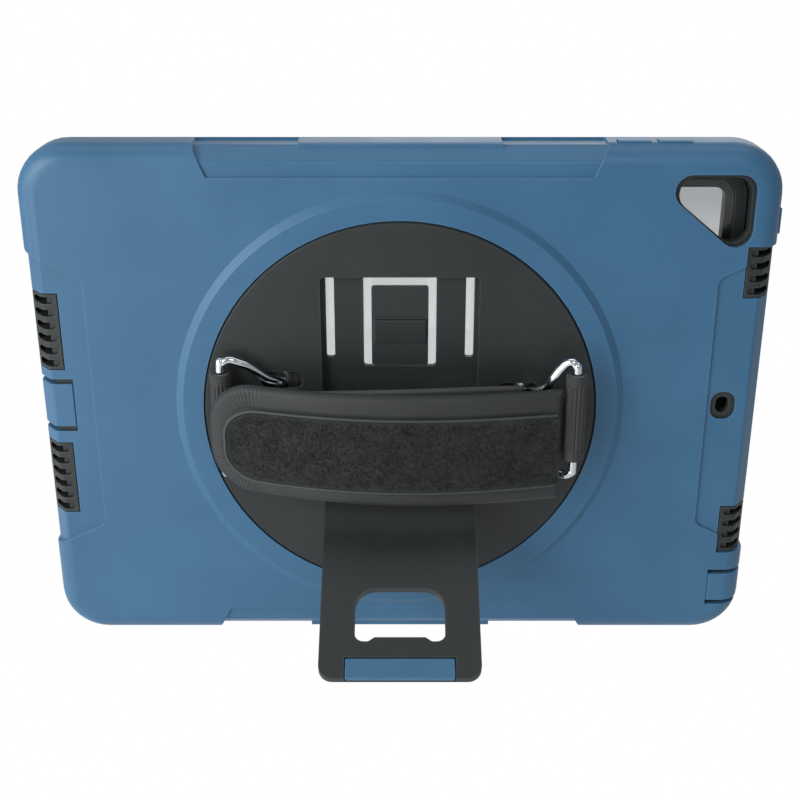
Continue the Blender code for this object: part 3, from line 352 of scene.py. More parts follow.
def settle(name, mesh, material, body, slot, *replaced):
    """Make a finished mesh a piece: give it its material, hang it on its body's empty and hide the nodes it
    replaces.
    """
    mesh.materials.clear()
    mesh.materials.append(material)
    piece = bpy.data.objects.new(name, mesh)
    bpy.context.scene.collection.objects.link(piece)
    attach(piece, body)
    if replaced:
        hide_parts(*replaced)
    return piece


def evaluated_mesh(item):
    """Mesh of an object with its modifiers applied; the object is removed."""
    bpy.context.view_layer.update()
    graph = bpy.context.evaluated_depsgraph_get()
    mesh = bpy.data.meshes.new_from_object(item.evaluated_get(graph), preserve_all_data_layers=True,
                                           depsgraph=graph)
    mesh.transform(item.matrix_world)
    bpy.data.objects.remove(item)
    return mesh


def loose_object(name, data):
    item = bpy.data.objects.new(name, data)
    bpy.context.scene.collection.objects.link(item)
    return item


def mesh_from(bm, name):
    mesh = bpy.data.meshes.new(name)
    bm.to_mesh(mesh)
    bm.free()
    return mesh


def merged_copy(node):
    """A node's mesh with its triangles merged back into flat faces."""
    bm = bmesh.new()
    bm.from_mesh(frame["nodes"][node].data)
    bmesh.ops.remove_doubles(bm, verts=bm.verts, dist=1e-6)
    bmesh.ops.dissolve_limit(bm, angle_limit=math.radians(0.3), verts=bm.verts, edges=bm.edges)
    return mesh_from(bm, node)


def rounded_copy(node, width_mm, segments=3, angle_deg=32):
    """A node's shape with its sharp edges rounded and its flat faces kept flat."""
    item = loose_object(node + "_work", merged_copy(node))
    item.data.shade_smooth()
    edges = item.modifiers.new("edges", "BEVEL")
    edges.width = width_mm * MM
    edges.segments = segments
    edges.limit_method = "ANGLE"
    edges.angle_limit = math.radians(angle_deg)
    shading = item.modifiers.new("shading", "WEIGHTED_NORMAL")
    shading.keep_sharp = True
    shading.weight = 60
    return evaluated_mesh(item)


def finished(name, node, material, width_mm, segments=3):
    """A node's own shape with rounded edges, as the piece that replaces it."""
    mesh = rounded_copy(node, width_mm, segments)
    return settle(name, mesh, MATERIAL[material], BODY_OF[node], SLOT_OF[node], node)


def smooth_closed(points, steps):
    """Points of a smooth closed curve through the given ones (Catmull-Rom)."""
    made, count = [], len(points)
    for i in range(count):
        a, b, c, d = (Vector(points[(i + k - 1) % count]) for k in range(4))
        for k in range(steps):
            t = k / steps
            made.append(0.5 * (2 * b + (c - a) * t + (2 * a - 5 * b + 4 * c - d) * t * t
                               + (3 * b - a - 3 * c + d) * t ** 3))
    return made


def tube(name, points, radius, closed=True, resolution=5):
    """Mesh of a round wire through the points."""
    curve = bpy.data.curves.new(name, "CURVE")
    curve.dimensions = "3D"
    curve.bevel_depth = radius
    curve.bevel_resolution = resolution
    curve.use_fill_caps = not closed
    spline = curve.splines.new("POLY")
    spline.points.add(len(points) - 1)
    for point, place in zip(spline.points, points):
        point.co = (*place, 1)
    spline.use_cyclic_u = closed
    mesh = evaluated_mesh(loose_object(name, curve))
    mesh.shade_smooth()
    return mesh


def grid_mesh(name, rows):
    """Mesh over a grid of points, given as an array of rows; the grid may be closed by its own points."""
    count, width = rows.shape[0], rows.shape[1]
    index = np.arange(count * width).reshape(count, width)
    faces = np.stack([index[:-1, :-1], index[1:, :-1], index[1:, 1:], index[:-1, 1:]], -1).reshape(-1, 4)
    mesh = bpy.data.meshes.new(name)
    mesh.from_pydata(rows.reshape(-1, 3).tolist(), [], faces.tolist())
    return mesh


def closed_up(mesh, smooth=True):
    """Merge the seams of a mesh and turn its faces outwards."""
    bm = bmesh.new()
    bm.from_mesh(mesh)
    bmesh.ops.remove_doubles(bm, verts=bm.verts, dist=2e-6)
    bmesh.ops.recalc_face_normals(bm, faces=bm.faces)
    bm.to_mesh(mesh)
    bm.free()
    if smooth:
        mesh.shade_smooth()
    return mesh


# ---------------------------------------------------------------- geometry node helpers


def geometry_tree(name, inputs):
    """A geometry node tree whose first input and output are the geometry; inputs are (name, socket type)."""
    tree = bpy.data.node_groups.new(name, "GeometryNodeTree")
    tree.interface.new_socket(name="Geometry", in_out="INPUT", socket_type="NodeSocketGeometry")
    for label, kind in inputs:
        tree.interface.new_socket(name=label, in_out="INPUT", socket_type=kind)
    tree.interface.new_socket(name="Geometry", in_out="OUTPUT", socket_type="NodeSocketGeometry")
    net = Net(tree)
    return net, net.node("NodeGroupInput"), net.node("NodeGroupOutput")


def end_tree(net, given, made, instances):
    """Realize the instances, set their material and send them out."""
    real = net.node("GeometryNodeRealizeInstances", {0: instances})
    coloured = net.node("GeometryNodeSetMaterial", {"Geometry": real.outputs[0],
                                                    "Material": given.outputs["Material"]})
    net.feed(made.inputs[0], coloured.outputs[0])
    return net.tree


def stitch_tree():
    """Short threads laid end to end along a curve."""
    net, given, made = geometry_tree("stitch_run", [
        ("Pitch", "NodeSocketFloat"), ("Stitch", "NodeSocketObject"), ("Material", "NodeSocketMaterial")])
    spread = net.node("GeometryNodeResampleCurve", {"Curve": given.outputs["Geometry"]})
    spread.mode = "LENGTH"
    net.feed(spread.inputs["Length"], given.outputs["Pitch"])
    tangent = net.node("GeometryNodeInputTangent").outputs[0]
    along = net.node("FunctionNodeAlignRotationToVector", {"Vector": tangent}, axis="X")
    thread = net.node("GeometryNodeObjectInfo", {"Object": given.outputs["Stitch"]})
    laid = net.node("GeometryNodeInstanceOnPoints", {
        "Points": spread.outputs[0], "Instance": thread.outputs["Geometry"], "Rotation": along.outputs[0]})
    return end_tree(net, given, made, laid.outputs[0])


def pile_tree():
    """Small loops standing on a surface, turned and scaled at random from a fixed seed."""
    net, given, made = geometry_tree("pile_scatter", [
        ("Density", "NodeSocketFloat"), ("Seed", "NodeSocketInt"), ("Loop", "NodeSocketObject"),
        ("Material", "NodeSocketMaterial")])
    up = net.node("GeometryNodeInputNormal")
    facing = net.node("ShaderNodeSeparateXYZ", {0: up.outputs[0]})
    front = net.node("FunctionNodeCompare", {0: facing.outputs["Y"], 1: -0.5}, data_type="FLOAT",
                     operation="LESS_THAN")
    spread = net.node("GeometryNodeDistributePointsOnFaces", {
        "Mesh": given.outputs["Geometry"], "Selection": front.outputs[0], "Density": given.outputs["Density"],
        "Seed": given.outputs["Seed"]})
    spin = net.node("FunctionNodeRandomValue", data_type="FLOAT_VECTOR")
    net.feed(spin.inputs[0], (-0.7, -0.7, 0.0))
    net.feed(spin.inputs[1], (0.7, 0.7, math.tau))
    turn = net.node("FunctionNodeRotateRotation", {
        "Rotation": spread.outputs["Rotation"], 1: spin.outputs[0]}, rotation_space="LOCAL")
    size = net.node("FunctionNodeRandomValue", data_type="FLOAT")
    net.feed(size.inputs[2], 0.7)
    net.feed(size.inputs[3], 1.35)
    loop = net.node("GeometryNodeObjectInfo", {"Object": given.outputs["Loop"]})
    laid = net.node("GeometryNodeInstanceOnPoints", {
        "Points": spread.outputs["Points"], "Instance": loop.outputs["Geometry"], "Rotation": turn.outputs[0],
        "Scale": size.outputs[1]})
    return end_tree(net, given, made, laid.outputs[0])


def ring_tree():
    """Copies of an object at even steps round a circle about the Y axis."""
    net, given, made = geometry_tree("round_the_circle", [
        ("Count", "NodeSocketInt"), ("Radius", "NodeSocketFloat"), ("Turn", "NodeSocketFloat"),
        ("Centre", "NodeSocketVector"), ("Item", "NodeSocketObject"), ("Material", "NodeSocketMaterial")])
    circle = net.node("GeometryNodeMeshCircle", {"Vertices": given.outputs["Count"],
                                                 "Radius": given.outputs["Radius"]})
    first = net.node("ShaderNodeCombineXYZ", {"Z": given.outputs["Turn"]})
    turned = net.node("GeometryNodeTransform", {"Geometry": circle.outputs[0], "Rotation": first.outputs[0]})
    upright = net.node("GeometryNodeTransform", {
        "Geometry": turned.outputs[0], "Rotation": (math.pi / 2, 0, 0),
        "Translation": given.outputs["Centre"]})
    item = net.node("GeometryNodeObjectInfo", {"Object": given.outputs["Item"]})
    laid = net.node("GeometryNodeInstanceOnPoints", {"Points": upright.outputs[0],
                                                     "Instance": item.outputs["Geometry"]})
    return end_tree(net, given, made, laid.outputs[0])


def grown(item, tree, values):
    """Mesh that a geometry node tree makes from an object, with its inputs set by name."""
    sockets = {s.name: s.identifier for s in tree.interface.items_tree if s.in_out == "INPUT"}
    modifier = item.modifiers.new("grow", "NODES")
    modifier.node_group = tree
    for key, value in values.items():
        modifier[sockets[key]] = value
    return evaluated_mesh(item)


# ---------------------------------------------------------------- hard pieces


def hard_pieces():
    """Moulded and metal pieces: the frame's own shapes with rounded edges."""
    finished("silicone_skin_body", "outer_skin", "skin", 0.45)
    finished("charge_flap", "charge_port_cover", "skin", 0.4)
    finished("audio_flap", "audio_port_cover", "skin", 0.4)
    for node in ("volume_up_button", "volume_down_button", "power_button"):
        finished(node + "_key", node, "skin", 0.25)
    for node in ("left_upper_grille", "left_lower_grille", "right_upper_grille", "right_lower_grille"):
        finished(node + "_ribs", node, "shell", 0.75, 4)
    finished("hard_back_shell", "inner_back_shell", "shell", 0.35)
    finished("front_bezel", "front_frame", "shell", 0.6)
    finished("screen_film", "screen_protector", "film", 0.1, 2)
    finished("turntable_plate", "turntable_disc", "turntable", 0.35)
    finished("retainer_plate", "disc_retainer_ring", "steel", 0.12)
    finished("latch_spring", "latch_tongue", "turntable", 0.3)
    finished("hinge_axle", "kickstand_hinge_pin", "steel", 0.15)
    finished("left_keeper_plate", "left_ring_keeper", "steel", 0.12)
    finished("right_keeper_plate", "right_ring_keeper", "steel", 0.12)
    finished("stand_leg", "kickstand_leg", "turntable", 0.4)
    finished("stand_foot", "kickstand_foot_pad", "skin", 0.3)


def screw_object():
    """One countersunk screw with a cross recess, its head facing +Y, about its node's own place."""
    low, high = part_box("retainer_screw_1")
    head_r = (high.x - low.x) / 2
    length = high.y - low.y
    shank_r, head_h, recess, cross = head_r * 0.53, 0.95 * MM, 0.55 * MM, 0.42 * MM
    profile = [(0, -length / 2), (shank_r * 0.7, -length / 2), (shank_r, -length / 2 + 0.5 * MM),
               (shank_r, length / 2 - head_h), (head_r * 0.96, length / 2 - 0.12 * MM),
               (head_r, length / 2 - 0.06 * MM),
               (head_r * 0.97, length / 2), (0, length / 2)]
    steps = 32
    rows = np.array([[(r * math.cos(math.tau * k / steps), y, r * math.sin(math.tau * k / steps))
                      for k in range(steps + 1)] for r, y in profile])
    body = loose_object("screw_work", closed_up(grid_mesh("screw", rows), smooth=False))
    for turn in (0, 1):
        bm = bmesh.new()
        bmesh.ops.create_cube(bm, size=1.0)
        size = (head_r * 1.25, 2 * recess, cross) if turn else (cross, 2 * recess, head_r * 1.25)
        bmesh.ops.scale(bm, vec=size, verts=bm.verts)
        bmesh.ops.translate(bm, vec=(0, length / 2, 0), verts=bm.verts)
        slot = loose_object(f"cross_{turn}", mesh_from(bm, "cross"))
        sink = body.modifiers.new(f"cross_{turn}", "BOOLEAN")
        sink.object = slot
        sink.solver = "EXACT"
    mesh = evaluated_mesh(body)
    for turn in (0, 1):
        bpy.data.objects.remove(bpy.data.objects[f"cross_{turn}"])
    mesh.shade_smooth()
    mesh.set_sharp_from_angle(angle=math.radians(35))
    return loose_object("screw_pattern", mesh)


def retainer_screws():
    """The six screws of the retainer plate, as one piece."""
    nodes = sorted(node for node in frame["nodes"] if node.startswith("retainer_screw_"))
    boxes = [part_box(node) for node in nodes]
    places = [(low + high) / 2 for low, high in boxes]
    radius = (places[0] - Vector((0, places[0].y, DISC_CENTRE.z))).length
    pattern = screw_object()
    base = loose_object("screw_base", bpy.data.meshes.new("screw_base"))
    mesh = grown(base, ring_tree(), {
        "Count": len(nodes), "Radius": radius, "Turn": math.pi / len(nodes),
        "Centre": (0, places[0].y, DISC_CENTRE.z), "Item": pattern, "Material": MATERIAL["steel"]})
    bpy.data.objects.remove(pattern)
    settle("retainer_screw_set", mesh, MATERIAL["steel"], BODY_OF[nodes[0]], SLOT_OF[nodes[0]], *nodes)


# ---------------------------------------------------------------- rings and webbing


def ring_points(side_name, steps):
    """Smooth path of one strap ring, in the frame."""
    side = -1 if side_name == "left" else 1
    pivot = Vector(JOINT[side_name + "_ring_hinge"]["pos_m"])
    turn = Matrix.Rotation(RING_TILT[side_name], 4, "Z")
    upper, lower = RING_HALVES[side_name]
    path = upper + [(out, -up, rise) for out, up, rise in reversed(lower)]
    lean = RING_LEAN[side_name]
    path = [(out, up + lean * min(1.0, out / LEAN_START_MM), rise) for out, up, rise in path]
    smooth = smooth_closed(path, steps)
    return [pivot + turn @ (Vector((side * out, -rise, up)) * MM) for out, up, rise in smooth]


def rings():
    for side in ("left", "right"):
        node = side + "_strap_ring"
        mesh = tube(side + "_ring", ring_points(side, 12), RING_WIRE_R, resolution=8)
        settle(side + "_wire_ring", mesh, MATERIAL["ring_wire"], BODY_OF[node], SLOT_OF[node], node)


def sleeve_outline(height):
    """Profile of a sleeve from its lower to its upper end, as (height, radius, depth share of the ribs)."""
    full, flat, low = SLEEVE_R, SLEEVE_R - 0.12 * MM, SLEEVE_R - 0.22 * MM
    outline = [(0, SLEEVE_BORE_R, 0), (0, SLEEVE_R - 0.5 * MM, 0), (0.25, flat, 0)]
    for k in range(HEM_ROWS):
        start = 0.35 + k * HEM_MM / HEM_ROWS
        outline += [(start, low, 0.1), (start + 0.3, full, 0.2), (start + 0.8, full, 0.2),
                    (start + 1.05, low, 0.1)]
    outline += [(HEM_MM + 0.6, SLEEVE_R - 0.30 * MM, 1.0), (HEM_MM + 1.2, flat, 1.0)]
    outline = [(z * MM, r, rib) for z, r, rib in outline]
    inset = HEM_MM * MM + 2 * MM
    middle = [(z, flat, 1.0) for z in np.linspace(inset, height - inset, 8)]
    return outline + middle + [(height - z, r, rib) for z, r, rib in reversed(outline)] + outline[:1]


def webbing_loops():
    """Ribbed elastic sleeves round the bars, with hemmed ends and a flat tab to the strap."""
    for side in ("left", "right"):
        node = side + "_webbing_loop"
        low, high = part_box(node)
        centre_x = low.x + SLEEVE_R if side == "left" else high.x - SLEEVE_R
        centre_y = low.y + SLEEVE_R if side == "left" else high.y - SLEEVE_R
        steps = SLEEVE_RIBS * 10
        rows = []
        for z, radius, rib in sleeve_outline(high.z - low.z):
            row = []
            for k in range(steps + 1):
                angle = math.tau * k / steps
                wave = 0.5 - 0.5 * math.cos(SLEEVE_RIBS * angle)
                r = radius - rib * RIB_DEPTH * (1 - wave ** 0.6)
                row.append((centre_x + r * math.sin(angle), centre_y - r * math.cos(angle), low.z + z))
            rows.append(row)
        bm = bmesh.new()
        bm.from_mesh(closed_up(grid_mesh(node, np.array(rows))))
        bm.from_mesh(webbing_tab(side, low, high, centre_x))
        mesh = mesh_from(bm, node)
        mesh.shade_smooth()
        settle(side + "_elastic_sleeve", mesh, MATERIAL["webbing"], BODY_OF[node], SLOT_OF[node], node)


def webbing_tab(side, low, high, centre_x):
    """Flat end of a webbing loop, ribbed across, from the sleeve to under the strap."""
    start, end = (centre_x, high.x) if side == "left" else (centre_x, low.x)
    y = low.y + 0.05 * MM if side == "left" else high.y - TAB_THICK - 0.05 * MM
    steps_x, steps_z = 60, 6
    front, back = [], []
    bottom, top = DISC_CENTRE.z - TAB_HALF, DISC_CENTRE.z + TAB_HALF
    for k in range(steps_x + 1):
        t = k / steps_x
        x = start + (end - start) * t
        wave = TAB_RIB_DEPTH * (0.5 - 0.5 * math.cos(math.tau * TAB_RIBS * t))
        zs = np.linspace(bottom, top, steps_z + 1)
        front.append([(x, y + wave, z) for z in zs])
        back.append([(x, y + TAB_THICK - wave, z) for z in zs])
    front, back = np.array(front), np.array(back)
    around = np.concatenate([front, back[:, ::-1], front[:, :1]], axis=1)
    mesh = grid_mesh("tab", around)
    bm = bmesh.new()
    bm.from_mesh(mesh)
    bmesh.ops.remove_doubles(bm, verts=bm.verts, dist=2e-6)
    bmesh.ops.holes_fill(bm, edges=[e for e in bm.edges if e.is_boundary])
    bmesh.ops.recalc_face_normals(bm, faces=bm.faces)
    bm.to_mesh(mesh)
    bm.free()
    return mesh


# ---------------------------------------------------------------- hand strap


class Outline:
    """Smooth shape of a strap layer read from its node: front surface, lower and upper edge along x."""

    def __init__(self, node, end_radius=0.0):
        mesh = frame["nodes"][node].data
        facing = {True: set(), False: set()}
        for face in mesh.polygons:
            if abs(face.normal.y) > 0.7:
                facing[face.normal.y < 0].update(face.vertices)
        front, back = (np.array([mesh.vertices[k].co for k in sorted(facing[side])])
                       for side in (True, False))
        keys = np.round(front[:, 0] / (0.2 * MM)).astype(int)
        columns = [front[keys == key] for key in np.unique(keys)]
        x, y, z_low, z_high = np.array(
            [(c[:, 0].mean(), c[:, 1].mean(), c[:, 2].min(), c[:, 2].max()) for c in columns]).T
        self.x = x
        self.end_radius = end_radius
        straight = x > x[0] + end_radius + (1.0 * MM if end_radius else -1.0 * MM)
        self.front_fit = np.polyfit(x, y, 7)
        self.low_fit = np.polyfit(x[straight], z_low[straight], 3)
        self.high_fit = np.polyfit(x[straight], z_high[straight], 3)
        self.thickness = float(np.median(back[:, 1] - self.front(back[:, 0])))

    def front(self, x):
        return np.polyval(self.front_fit, x)

    def edges(self, x):
        low, high = np.polyval(self.low_fit, x), np.polyval(self.high_fit, x)
        if self.end_radius:
            near = np.clip(1 - (x - self.x[0]) / self.end_radius, 0, 1)
            pull = (1 - np.sqrt(1 - near ** 2)) * np.minimum(self.end_radius, (high - low) / 2 - 3 * MM)
            low, high = low + pull, high - pull
        return low, high

    def stations(self, count, stop=0.0):
        """Places along x, close together at both ends."""
        share = 0.5 - 0.5 * np.cos(np.pi * np.linspace(0, 1, count))
        return self.x[0] + (self.x[-1] - stop - self.x[0]) * share

    def border(self, count=360):
        """Closed outline in x and z, anticlockwise from the lower left."""
        xs = self.stations(count)
        low, high = self.edges(xs)
        up = np.linspace(0, 1, 40)[1:-1]
        right = np.stack([np.full(38, xs[-1]), low[-1] + (high[-1] - low[-1]) * up], 1)
        left = np.stack([np.full(38, xs[0]), high[0] + (low[0] - high[0]) * up], 1)
        return np.concatenate([np.stack([xs, low], 1), right, np.stack([xs[::-1], high[::-1]], 1), left])


def distance_to(border, x, z):
    """Distance of each grid point to a closed outline."""
    points = np.stack([x.ravel(), z.ravel()], 1)
    starts, ends = border, np.roll(border, -1, axis=0)
    along = ends - starts
    length = np.maximum((along ** 2).sum(1), 1e-14)
    best = np.full(len(points), 1e9)
    for first in range(0, len(points), 4000):
        block = points[first:first + 4000]
        offset = block[:, None, :] - starts[None]
        t = np.clip((offset * along[None]).sum(2) / length[None], 0, 1)
        gap = offset - t[..., None] * along[None]
        best[first:first + 4000] = np.sqrt((gap ** 2).sum(2).min(1))
    return best.reshape(x.shape)


def layer_grid(outline, columns, rows):
    """Grid over a strap layer, finer near its edges: x and z arrays."""
    v = 0.5 - 0.5 * np.cos(np.pi * np.linspace(0, 1, rows))
    x = outline.stations(columns)
    low, high = outline.edges(x)
    z = low[:, None] + (high - low)[:, None] * v[None]
    return np.repeat(x[:, None], rows, axis=1), z


def layer_mesh(name, x, z, front, back):
    """Closed mesh between a front and a back surface over the same grid; they meet at its border."""
    top = np.stack([x, front, z], -1)
    low = np.stack([x, back, z], -1)
    bm = bmesh.new()
    for sheet in (top, low[::-1]):
        part = grid_mesh(name, sheet)
        bm.from_mesh(part)
        bpy.data.meshes.remove(part)
    bmesh.ops.remove_doubles(bm, verts=bm.verts, dist=2e-6)
    rim = [e for e in bm.edges if e.is_boundary]
    if rim:
        bmesh.ops.holes_fill(bm, edges=rim)
    bmesh.ops.recalc_face_normals(bm, faces=bm.faces)
    mesh = mesh_from(bm, name)
    mesh.shade_smooth()
    return mesh


def soft_noise(x, z, scale, seed):
    """Slow waves over a layer, from -1 to 1."""
    values = [noise.noise(Vector((a * scale, b * scale, seed))) for a, b in zip(x.ravel(), z.ravel())]
    return np.array(values).reshape(x.shape)


def edge_drop(distance, radius, depth):
    """How far a surface falls near its edge, as a quarter of an ellipse."""
    t = np.clip(1 - distance / radius, 0, 1)
    return depth * (1 - np.sqrt(1 - t ** 2))


def strap_pad(patch):
    """Padded body of the strap: rolled border, gathered at the round end, sewn down round the patch."""
    outline = Outline("hand_strap_pad", STRAP_END_R)
    x, z = layer_grid(outline, 460, 120)
    half = outline.thickness / 2
    distance = distance_to(outline.border(), x, z)
    to_patch = distance_to(patch.border(), x, z)
    low, high = patch.edges(x)
    inside = (x > patch.x[0]) & (x < patch.x[-1]) & (z > low) & (z < high)
    front = outline.front(x)
    drop = edge_drop(distance, BORDER_ROLL, half)
    seam = np.exp(-((to_patch - 1.1 * MM) / (0.55 * MM)) ** 2) * np.where(inside, 0, 1)
    crown = 0.35 * MM * np.sin(np.pi * np.clip(distance / (9 * MM), 0, 1)) * np.where(inside, 0, 1)
    centre_x = patch.x[0] + 12 * MM
    centre_z = (patch.edges(centre_x)[0] + patch.edges(centre_x)[1]) / 2
    angle = np.arctan2(z - centre_z, centre_x - x)
    round_end = np.clip((centre_x + 6 * MM - x) / (10 * MM), 0, 1)
    border_only = (np.clip(to_patch / (1.5 * MM), 0, 1) * np.clip(distance / (1.0 * MM), 0, 1)
                   * np.where(inside, 0, 1))
    pleats = (0.5 - 0.5 * np.cos(PLEAT_COUNT * angle)) ** 2 * round_end * border_only
    waves = soft_noise(x, z, 70.0, 1.7) * 0.16 * MM + soft_noise(x, z, 190.0, 4.1) * 0.05 * MM
    waves = waves * np.clip(distance / (3 * MM), 0, 1)
    front = front + drop + SEAM_DEPTH * seam - crown + PLEAT_DEPTH * pleats + waves
    back = outline.front(x) + outline.thickness - edge_drop(distance, BORDER_ROLL, half)
    mesh = layer_mesh("strap_pad", x, z, front, back)
    pad = settle("hand_strap_body", mesh, MATERIAL["strap"], BODY_OF["hand_strap_pad"], "strap",
                 "hand_strap_pad")


def strap_patch(patch):
    """Loop-pile field with its pile, the stitches round it and its selvedge."""
    body, node = BODY_OF["strap_fastener_patch"], "strap_fastener_patch"
    x, z = layer_grid(patch, 380, 96)
    distance = distance_to(patch.border(), x, z)
    rough = soft_noise(x, z, 2400.0, 2.3) * 0.10 * MM + soft_noise(x, z, 900.0, 7.9) * 0.12 * MM
    inner = np.clip((distance - 0.9 * MM) / (0.5 * MM), 0, 1)
    front = patch.front(x) + edge_drop(distance, 0.8 * MM, 0.7 * MM) + 0.15 * MM + rough * inner
    back = patch.front(x) + 1.5 * MM - edge_drop(distance, 0.8 * MM, 0.2 * MM)
    mesh = layer_mesh("pile_field", x, z, front, back)
    ground = pile_ground(patch, mesh)
    settle("fastener_field", mesh, MATERIAL["fastener"], body, "fastener", node)
    settle("fastener_pile", pile_on(ground), MATERIAL["fastener"], body, "fastener")
    settle("patch_stitches", seam_threads(patch), MATERIAL["thread"], body, "strap")
    edge = line_round(patch, -0.25 * MM, 0.35 * MM)
    selvedge = tube("selvedge", edge, SELVEDGE_R, closed=False, resolution=3)
    settle("patch_selvedge", selvedge, MATERIAL["selvedge"], body, "strap")


def pile_ground(patch, mesh):
    """Part of the field that carries pile: all but a bare margin."""
    bm = bmesh.new()
    bm.from_mesh(mesh)
    border = patch.border()
    bare = [v for v in bm.verts if nearest(border, v.co.x, v.co.z) <= PILE_MARGIN]
    bmesh.ops.delete(bm, geom=bare, context="VERTS")
    return loose_object("pile_ground", mesh_from(bm, "pile_ground"))


def pile_on(ground):
    """Mesh of the loops standing on the ground."""
    arch = [(PILE_LOOP * 0.5 * math.cos(a), 0, PILE_LOOP * 0.9 * math.sin(a) - 0.1 * MM)
            for a in np.linspace(math.pi, 0, 6)]
    loop = loose_object("pile_pattern", tube("pile_loop", arch, PILE_THREAD_R, closed=False, resolution=0))
    pile = grown(ground, pile_tree(), {"Density": PILE_DENSITY, "Seed": 5, "Loop": loop,
                                       "Material": MATERIAL["fastener"]})
    bpy.data.objects.remove(loop)
    return pile


def seam_threads(patch):
    """Mesh of the stitches laid along the seam."""
    half, shoulder = STITCH_LENGTH / 2, STITCH_LENGTH * 0.3
    arch = [(-half, 0.12 * MM, 0), (-shoulder, 0, 0), (0, -0.05 * MM, 0), (shoulder, 0, 0),
            (half, 0.12 * MM, 0)]
    stitch = loose_object("stitch_pattern", tube("stitch", arch, STITCH_R, closed=False, resolution=1))
    path = line_round(patch, SEAM_OUT, SEAM_BEHIND)
    curve = bpy.data.curves.new("seam_line", "CURVE")
    curve.dimensions = "3D"
    spline = curve.splines.new("POLY")
    spline.points.add(len(path) - 1)
    for point, place in zip(spline.points, path):
        point.co = (*place, 1)
    threads = grown(loose_object("seam_line", curve), stitch_tree(),
                    {"Pitch": STITCH_PITCH, "Stitch": stitch, "Material": MATERIAL["thread"]})
    bpy.data.objects.remove(stitch)
    return threads


def line_round(patch, outwards, behind):
    """Line round the patch, moved outwards and set behind its front surface."""
    line = offset_outline(patch, outwards)
    return [(x, float(patch.front(np.clip(x, patch.x[0], patch.x[-1]))) + behind, z) for x, z in line]


def nearest(border, x, z):
    return float(np.sqrt(((border - (x, z)) ** 2).sum(1).min()))


def offset_outline(layer, distance):
    """The layer's outline moved outwards, open along its right end, starting at the lower right."""
    xs = layer.stations(420, 1.0 * MM)
    low, high = layer.edges(xs)
    left = np.stack([np.full(30, xs[0]), np.linspace(low[0], high[0], 32)[1:-1]], 1)
    line = np.concatenate([np.stack([xs, low], 1)[::-1], left, np.stack([xs, high], 1)])
    keep = [0]
    for k in range(1, len(line)):
        if np.linalg.norm(line[k] - line[keep[-1]]) > 0.35 * MM:
            keep.append(k)
    line = line[keep]
    along = np.gradient(line, axis=0)
    along /= np.linalg.norm(along, axis=1)[:, None]
    for _ in range(3):
        along[1:-1] = (along[:-2] + along[1:-1] + along[2:]) / 3
    along /= np.linalg.norm(along, axis=1)[:, None]
    normal = np.stack([-along[:, 1], along[:, 0]], 1)
    return line - normal * distance


def strap_lining():
    """Soft lining behind the strap, whose upper edge shows as a rolled hem."""
    outline = Outline("strap_lining")
    x, z = layer_grid(outline, 240, 70)
    distance = distance_to(outline.border(), x, z)
    half = outline.thickness / 2
    waves = soft_noise(x, z, 80.0, 9.4) * 0.15 * MM
    drop = edge_drop(distance, 1.4 * MM, half)
    hem = 0.25 * MM * np.exp(-((distance - 3.0 * MM) / (0.4 * MM)) ** 2)
    front = outline.front(x) + drop + hem + waves * np.clip(distance / (3 * MM), 0, 1)
    back = outline.front(x) + outline.thickness - drop - hem + waves * np.clip(distance / (3 * MM), 0, 1)
    mesh = layer_mesh("lining", x, z, front, back)
    piece = settle("strap_lining_pad", mesh, MATERIAL["lining"], BODY_OF["strap_lining"], "strap",
                   "strap_lining")


def hand_strap():
    patch = Outline("strap_fastener_patch", PATCH_END_R)
    strap_pad(patch)
    strap_patch(patch)
    strap_lining()


# ---------------------------------------------------------------- room


def area_light(name, place, aim, size, power):
    light = bpy.data.lights.new(name, "AREA")
    light.shape = "RECTANGLE"
    light.size, light.size_y = size
    light.energy = power
    item = loose_object(name, light)
    item.location = place
    item.rotation_euler = (Vector(aim) - Vector(place)).to_track_quat("-Z", "Y").to_euler()


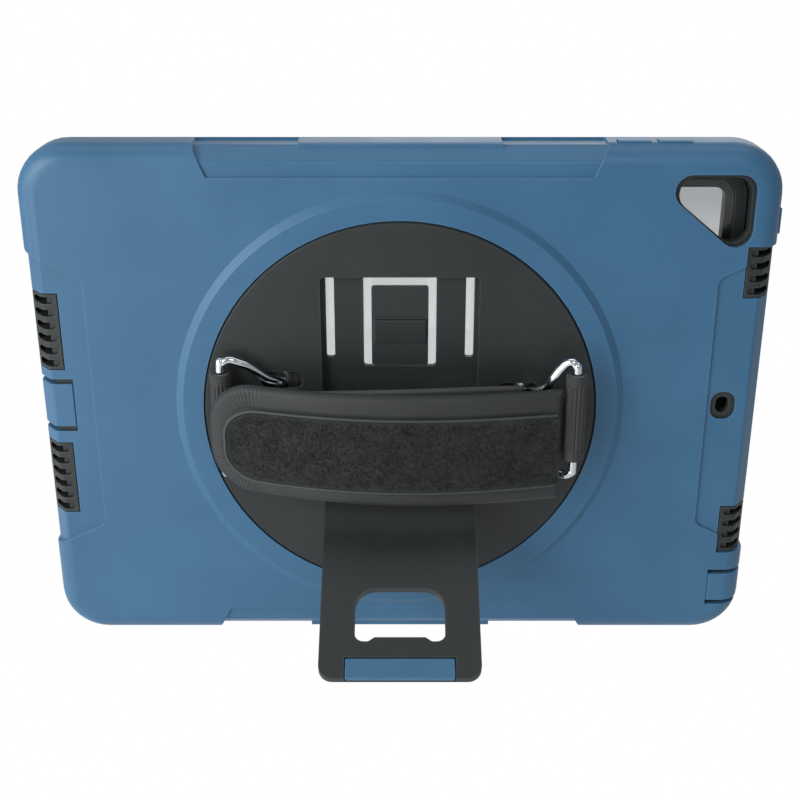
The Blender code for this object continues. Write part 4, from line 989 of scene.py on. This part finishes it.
def room():
    """Plain pale floor, soft studio lights and the camera."""
    bm = bmesh.new()
    bmesh.ops.create_grid(bm, x_segments=1, y_segments=1, size=FLOOR_SIZE / 2)
    floor = loose_object("studio_floor", mesh_from(bm, "studio_floor"))
    floor.location = (0, 0, -FLOOR_DROP)
    pale, net, shader = start_material("studio_paper", Roughness=0.9, Specular_IOR_Level=0.1)
    shader.inputs["Base Color"].default_value = (0.80, 0.80, 0.80, 1)
    seen = net.node("ShaderNodeLightPath").outputs["Is Camera Ray"]
    glow = net.node("ShaderNodeEmission", {"Color": (1, 1, 1, 1), "Strength": 1.0})
    both = net.node("ShaderNodeMixShader", {0: seen, 1: shader.outputs[0], 2: glow.outputs[0]})
    net.feed(pale.node_tree.nodes["Material Output"].inputs["Surface"], both.outputs[0])
    floor.data.materials.append(pale)

    world = bpy.data.worlds.new("studio")
    world.use_nodes = True
    world.node_tree.nodes["Background"].inputs["Color"].default_value = (0.93, 0.96, 1.0, 1)
    world.node_tree.nodes["Background"].inputs["Strength"].default_value = 0.42
    bpy.context.scene.world = world
    middle = (0, 0, DISC_CENTRE.z)
    area_light("key_left", (-0.85, -0.70, 0.55), middle, (0.6, 0.6), 9.0)
    area_light("low_left", (-0.62, -0.80, 0.0), middle, (0.5, 0.3), 2.2)
    area_light("side_strip", (-1.0, -0.20, 0.25), middle, (0.15, 0.9), 2.0)
    area_light("top_strip", (0.0, 0.05, 1.0), middle, (1.2, 0.25), 1.6)
    area_light("leg_front", (0.1, -1.0, 0.75), (0, -0.06, 0.03), (0.4, 0.25), 1.6)
    area_light("back_fill", (0.3, 1.1, 0.6), middle, (1.0, 0.8), 3.0)

    camera = bpy.data.cameras.new("camera")
    camera.lens = CAMERA_LENS
    camera.sensor_width = CAMERA_SENSOR
    camera.clip_start = 0.02
    eye = loose_object("camera", camera)
    eye.location = CAMERA_PLACE
    eye.rotation_euler = (CAMERA_PITCH, 0, 0)
    scene = bpy.context.scene
    scene.camera = eye
    scene.view_settings.view_transform = "Standard"


hard_pieces()
retainer_screws()
rings()
webbing_loops()
hand_strap()
room()
